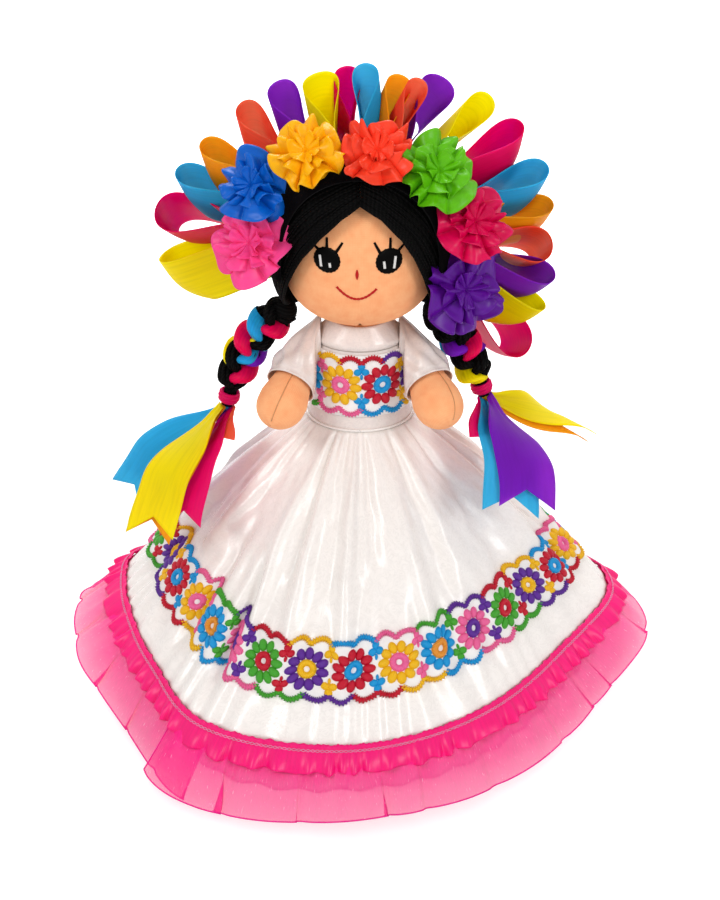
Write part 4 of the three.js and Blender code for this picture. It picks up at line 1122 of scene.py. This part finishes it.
# Arms: stuffed cotton with a seam down the middle of the hand, in wide satin sleeves
arm = {"pivot": (30.5, 0.0, 223.0), "length": 68.0, "outward": 27.0, "forward": 54.0, "handRadius": 16.5,
       "seamTurn": pi / 2 + 0.3, "sleeveRun": 36.0, "sleeveCut": 48.0, "sleeveThickness": 0.6,
       "hole": (24.0, 1.0, 224.0), "blendFrom": (25.0, 0.0, 224.0), "blendRun": 16.0,
       # mm down the arm, radius
       "profile": [(-2, 5.0), (2, 9.5), (12, 12.6), (34, 13.2), (47, 16.2), (68, 16.2)]}


def armFrame(sign):
    down = math.sqrt(arm["length"] ** 2 - arm["outward"] ** 2 - arm["forward"] ** 2)
    way = unit([sign * arm["outward"], -arm["forward"], -down])
    across = unit(np.cross(way, [0, 0, 1]))
    return np.array(arm["pivot"]) * [sign, 1, 1], way, across, np.cross(across, way)


def pushClear(p, sign, limit, soft):  # moved out past a limit beside the bodice, with a soft turn
    clear = limit - sign * p[:, 0]
    return sign * (clear + np.sqrt(clear ** 2 + soft)) / 2


def armParts(sign):
    pivot, way, across, up = armFrame(sign)

    def skin(u, v):
        run = lerp(-2.0, arm["length"], v)
        past = np.clip((run - arm["length"]) / arm["handRadius"] + 1, 0, 1)
        radius = np.interp(run, *zip(*arm["profile"])) * np.sqrt(np.clip(1 - past ** 2, 0.0004, 1))
        turn = 2 * pi * u
        groove = 0.25 * bell(turn - arm["seamTurn"], 0.1) * ease(run, 20, 30)
        radius = np.maximum(radius - groove, 0.2)
        squash = lerp(1, 0.9, ease(run, 35, 55))
        p = around(pivot + way * run[:, None], across, up, turn, radius, radius * squash)
        # flattened inside the sleeve, clear of the bodice
        p[:, 0] += pushClear(p, sign, 25.5 + 5.0 * ease(run, 0, 10), 4) * (1 - ease(run, 38, 46))
        return p

    seamRun = np.linspace(0.3, 0.985, 60)
    seam = skin(0 * seamRun + arm["seamTurn"] / (2 * pi), seamRun)
    return [gridPart(skin, 120, 60, (90, 78), closed=True), tubePart(seam[None], 0.4, 5, 1)]


def sleevePart(sign):
    pivot, way, across, up = armFrame(sign)
    inner = np.array(arm["hole"]) * [sign, 1, 1]

    def cloth(u, v):
        turn = 2 * pi * u
        radius = lerp(14.2, 16.9, v) + 1.5 * np.sin(pi * v ** 0.8) - 0.7 * bell(v - 0.94, 0.02)
        creases = np.cos(5 * turn + 7 * v + sign) + 0.8 * np.cos(9 * turn - 9 * v + 1)
        radius += creases * np.sin(pi * v) ** 0.6
        ring = around(pivot + way * (arm["sleeveRun"] * v)[:, None], across, up, turn, radius)
        oval = np.stack([sign * np.sin(turn), -sign * 15.0 * np.cos(turn), 18.5 * np.sin(turn)], -1)
        p = lerp(inner + oval, ring, ease(v, 0, 0.55)[:, None])
        # the sleeve hangs beside the bodice, not over it
        p[:, 0] += pushClear(p, sign, 24.0 + 4.5 * ease(v, 0, 0.3), 9)
        return p

    return gridPart(cloth, 96, 28, (105, arm["sleeveCut"]), closed=True)


sides = (("right", -1), ("left", 1))
for side, sign in sides:
    armBody = f"{side}_arm"
    stuffedPiece(f"{side}ArmStuffed", armParts(sign), armBody, [skinCotton, flosses["tan"]], armBody)
    # the sleeves take the greyer satin copy, painted shade
    sleeve = sheetPiece(f"{side}SleeveCloth", sleevePart(sign), None, paintedShadeSatin,
                        f"{side}_sleeve", arm["sleeveCut"],
                        arm["sleeveThickness"])
    pivot, way = armFrame(sign)[:2]
    blendFrom = np.array(arm["blendFrom"]) * [sign, 1, 1]
    blendTo = pivot + way * arm["blendRun"]
    toFrame(blendFrom)[0]
    toFrame(blendTo)[0]
    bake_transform(sleeve)

# Legs: stuffed cotton with a turned-up foot, hidden under the skirt
leg = {"aside": 17.0, "top": 126.0, "sole": 1.0, "forward": 4.0,
       # height, radius
       "profile": [(1, 6), (3, 11.5), (10, 15.6), (24, 14.4), (58, 12.8), (100, 14.8), (118, 12.5), (126, 2)]}


def legPart(sign):
    def skin(u, v):
        turn = 2 * pi * u
        z = lerp(leg["top"], leg["sole"], v)
        radius = np.interp(z, *zip(*leg["profile"]))
        forward = leg["forward"] * (1 - ease(z, 8, 34))
        x = sign * leg["aside"] + radius * np.cos(turn)
        return np.stack([x, -forward - radius * np.sin(turn), z], -1)

    return gridPart(skin, 64, 60, (90, 125), closed=True)


for side, sign in sides:
    stuffedPiece(f"{side}LegStuffed", [legPart(sign)], f"{side}_leg", [skinCotton], f"{side}_leg")
print("arms and legs made")


# Braids: three strands of yarn plaited with ribbons, tied near the end
braids = {"right": {"sign": -1, "reach": 41, "drop": 72, "bow": 6, "azimuth": 74,
                    # ribbon tails: colour, degrees aside, length in mm, degrees turned to the front
                    "tails": [("coral", -50, 42, 10), ("crimson", -33, 95, 15), ("purple", 20, 90, 20),
                              ("sky", 18, 100, 30), ("orange", -19, 104, 27), ("yellow", -25, 103, 30)],
                    # ribbon in the plait: strand, start, end, from and to degrees round, colour
                    "bound": [(1, 0.2, 0.5, -225, 45, "sky"), (1, 0.5, 0.76, -225, -85, "sky"),
                              (1, 0.5, 0.76, -85, 60, "purple"), (0, 0.1, 0.97, -225, 60, "crimson"),
                              (2, 0.3, 0.8, -235, -165, "yellow")]},
          "left": {"sign": 1, "reach": 35, "drop": 64, "bow": 3, "azimuth": 68,
                   "tails": [("crimson", -50, 52, 8), ("sky", -41, 97, 34), ("orange", 40, 66, -50),
                             ("yellow", 47, 71, -52), ("purple", -37, 93, 38)],
                   "bound": [(0, 0.36, 0.7, -160, 55, "purple"), (0, 0.36, 0.7, -235, -160, "sky"),
                             (1, 0.5, 0.77, -225, 55, "crimson"), (1, 0.77, 1.0, -225, 55, "yellow")]}}
plait = {"root": (49.0, 2.3, 246.2), "sway": 7.0, "cross": 4.8, "strand": 5.1, "end": 12.0, "lobes": 10,
         "yarns": 7, "yarn": 1.75, "tie": 7.0, "tieRadius": 5.8, "tieThickness": 0.6}
tailFan = {"pinch": 8.0, "spread": 42.0, "faced": 66.0, "turn": 16.0, "notch": 13.0, "standOff": 9.0,
           "lift": 2.8, "run": 126.0, "bow": 9.0, "layer": 1.8, "thickness": 0.4}
backward = np.array([0, 1.0, 0])


def braidLine(braid, t):
    sign = braid["sign"]
    root = np.array(plait["root"]) * [sign, 1, 1]
    end = root + [sign * braid["reach"], 0, -braid["drop"]]
    middle = (root + end) / 2 + [sign * 2 * braid["bow"], 0, 2 * braid["bow"]]
    t = np.asarray(t, float)[..., None]
    point = root * (1 - t) ** 2 + middle * 2 * t * (1 - t) + end * t ** 2
    return point, unit((middle - root) * (1 - t) + (end - middle) * t)


def braidParts(braid, colours, length):
    plaited = 1 - plait["end"] / length

    def strandLine(k, l):
        point, tangent = braidLine(braid, np.clip(l, 0, None) * plaited)
        point = point + tangent * (np.minimum(l, 0) * length)[:, None]
        across = unit(np.cross(tangent, backward))
        theta = plait["lobes"] / 6 * 2 * pi * l + 2 * pi * k / 3
        close = ease(l, -0.03, 0.1) * (1 - ease(l, 0.9, 1) * 0.75)
        side = plait["sway"] * np.sin(theta) * lerp(0.8, 1, close) * (1 - 0.7 * ease(l, 0.9, 1))
        over = plait["cross"] * np.sin(2 * theta) * close
        return point + across * side[:, None] + backward * over[:, None], across

    l = np.linspace(-0.03, 1, 90)
    full = plait["strand"] * (1 - 0.35 * ease(l, 0.88, 1)) - 1.5
    turns = 2 * pi * np.arange(plait["yarns"]) / plait["yarns"]
    strands = [strandLine(k, l) for k in range(3)]
    yarns = [around(line, across, backward, turn + 3.0 * l, full * (turn > 0))
             for line, across in strands for turn in turns]
    cap = np.linspace(0, 1, 14)
    point, tangent = braidLine(braid, np.array([0.0]))
    blob = point + tangent * (cap[:, None] * 15.0 - 8.0)
    blobRadius = 8.2 * np.sqrt(np.clip(1 - (2 * cap - 1) ** 2, 0.02, 1))
    parts = [tubePart(yarns, plait["yarn"], 7), tubePart(blob[None], blobRadius, 16)]
    for k, start, stop, low, high, colour in braid["bound"]:
        def wrap(u, v):
            line, across = strandLine(k, lerp(start, stop, v))
            radius = plait["strand"] + 1.9 - 1.6 * (2 * u - 1) ** 4
            return around(line, across, backward, np.radians(lerp(low, high, u)), radius)

        parts.append(gridPart(wrap, 12, 36, (12, 40), material=colours.index(colour) + 1))
    knot, tangent = braidLine(braid, np.linspace(plaited, 1.0, 14))
    aside = np.cross(tangent, backward)
    brush = [knot + 2.6 * (np.cos(turn) * aside + np.sin(turn) * backward) for turn in turns]
    return parts + [tubePart(brush, 1.9, 7)]


def tiePart(braid, length):
    def wrapped(u, v):
        point, tangent = braidLine(braid, 1 + (plait["tie"] * (v - 0.5) - plait["end"] / 2) / length)
        across = unit(np.cross(tangent, backward))
        radius = plait["tieRadius"] + 1.1 * np.sin(pi * v) ** 0.5 + 0.4 * np.cos(2 * pi * (3 * v + u))
        return around(point, across, backward, 2 * pi * u, radius)

    return gridPart(wrapped, 48, 16, (46, plait["tie"]), closed=True)


def tailParts(braid):
    sign = braid["sign"]
    end, leaving = [a[0] for a in braidLine(braid, np.array([1.0]))]
    start = end + leaving * 0.6
    az = np.array(sign * math.radians(braid["azimuth"]))
    low, high = 0.0, 1.1
    for _ in range(40):  # the place over the skirt that is one run away from the tie
        middle = (low + high) / 2
        if np.linalg.norm(skirtMean(az, middle, -tailFan["standOff"], 0) - start) < tailFan["run"]:
            low = middle
        else:
            high = middle
    down = unit(skirtMean(az, low, -tailFan["standOff"], 0) - start)
    level = sign * np.array([math.cos(az), math.sin(az), 0])
    level = unit(level - down * level.dot(down))
    outward = -sign * np.cross(level, down)
    tiedAcross = unit(level - leaving * level.dot(leaving))
    tiedOutward = -sign * np.cross(tiedAcross, leaving)
    centre = (len(braid["tails"]) - 1) / 2
    for k, (colour, angle, length, face) in enumerate(braid["tails"]):
        turn = math.radians(angle)
        along = down * math.cos(turn) + level * math.sin(turn)
        across = level * math.cos(turn) - down * math.sin(turn)
        wave = randomTail.uniform(0, 2 * pi)
        facing = math.radians(face)  # the ribbon turns this far to the front as it falls free

        def ribbon(u, v):
            fallen = v * length
            wide = lerp(tailFan["pinch"], ribbonWidth, ease(fallen, 0, tailFan["spread"])) * (u - 0.5)
            run = fallen - tailFan["notch"] * (1 - 2 * np.abs(u - 0.5)) * np.clip(2 * v - 1, 0, 1)
            share = np.clip(run / tailFan["run"], 0, 1)
            layer = lerp((k - centre) * tailFan["layer"], k * tailFan["lift"], share)
            bow = tailFan["bow"] * np.sin(pi * share)
            freed = ease(fallen, 0, tailFan["turn"])[:, None]
            pleat = 0.54 * np.cos(4 * pi * (u - 0.5)) * (1 - ease(fallen, 6, 40)) * ease(fallen, 0, 8)
            ripple = 0.55 * np.sin(2 * pi * fallen / 46 + wave + 1.5 * u) * ease(v, 0.2, 0.6)
            turned = facing * ease(fallen, 4, tailFan["faced"])
            lift = wide * np.sin(turned) + ribbonWidth / 2 * np.abs(np.sin(turned))
            return (start + along * run[:, None] + outward * (bow + pleat + ripple + lift)[:, None]
                    + unit(lerp(tiedAcross, across, freed)) * (wide * np.cos(turned))[:, None]
                    + unit(lerp(tiedOutward, outward, freed)) * layer[:, None])

        yield colour, gridPart(ribbon, 16, 40, (ribbonWidth, length)), length


randomTail = np.random.default_rng(9)
for side, braid in braids.items():
    bodyName = f"{side}_braid"
    colours = sorted({bound[5] for bound in braid["bound"]})
    length = runAlong(braidLine(braid, np.linspace(0, 1, 200))[0])[-1]
    makePiece(f"{side}BraidPlait", braidParts(braid, colours, length), bodyName,
              [hairYarn] + [ribbons[colour] for colour in colours], [bodyName])
    makePiece(f"{side}BraidTie", [tiePart(braid, length)], bodyName, [ribbons["magenta"]],
              [f"{side}_braid_tie"], plait["tieThickness"])
    for colour, part, tailLength in tailParts(braid):
        piece = makePiece(f"{side}Tail{colour.capitalize()}", [part], bodyName, [ribbons[colour]],
                          [f"{side}_tail_{colour}"], tailFan["thickness"])
        sheetArea(part) / 1e6
print("braids and tails made")
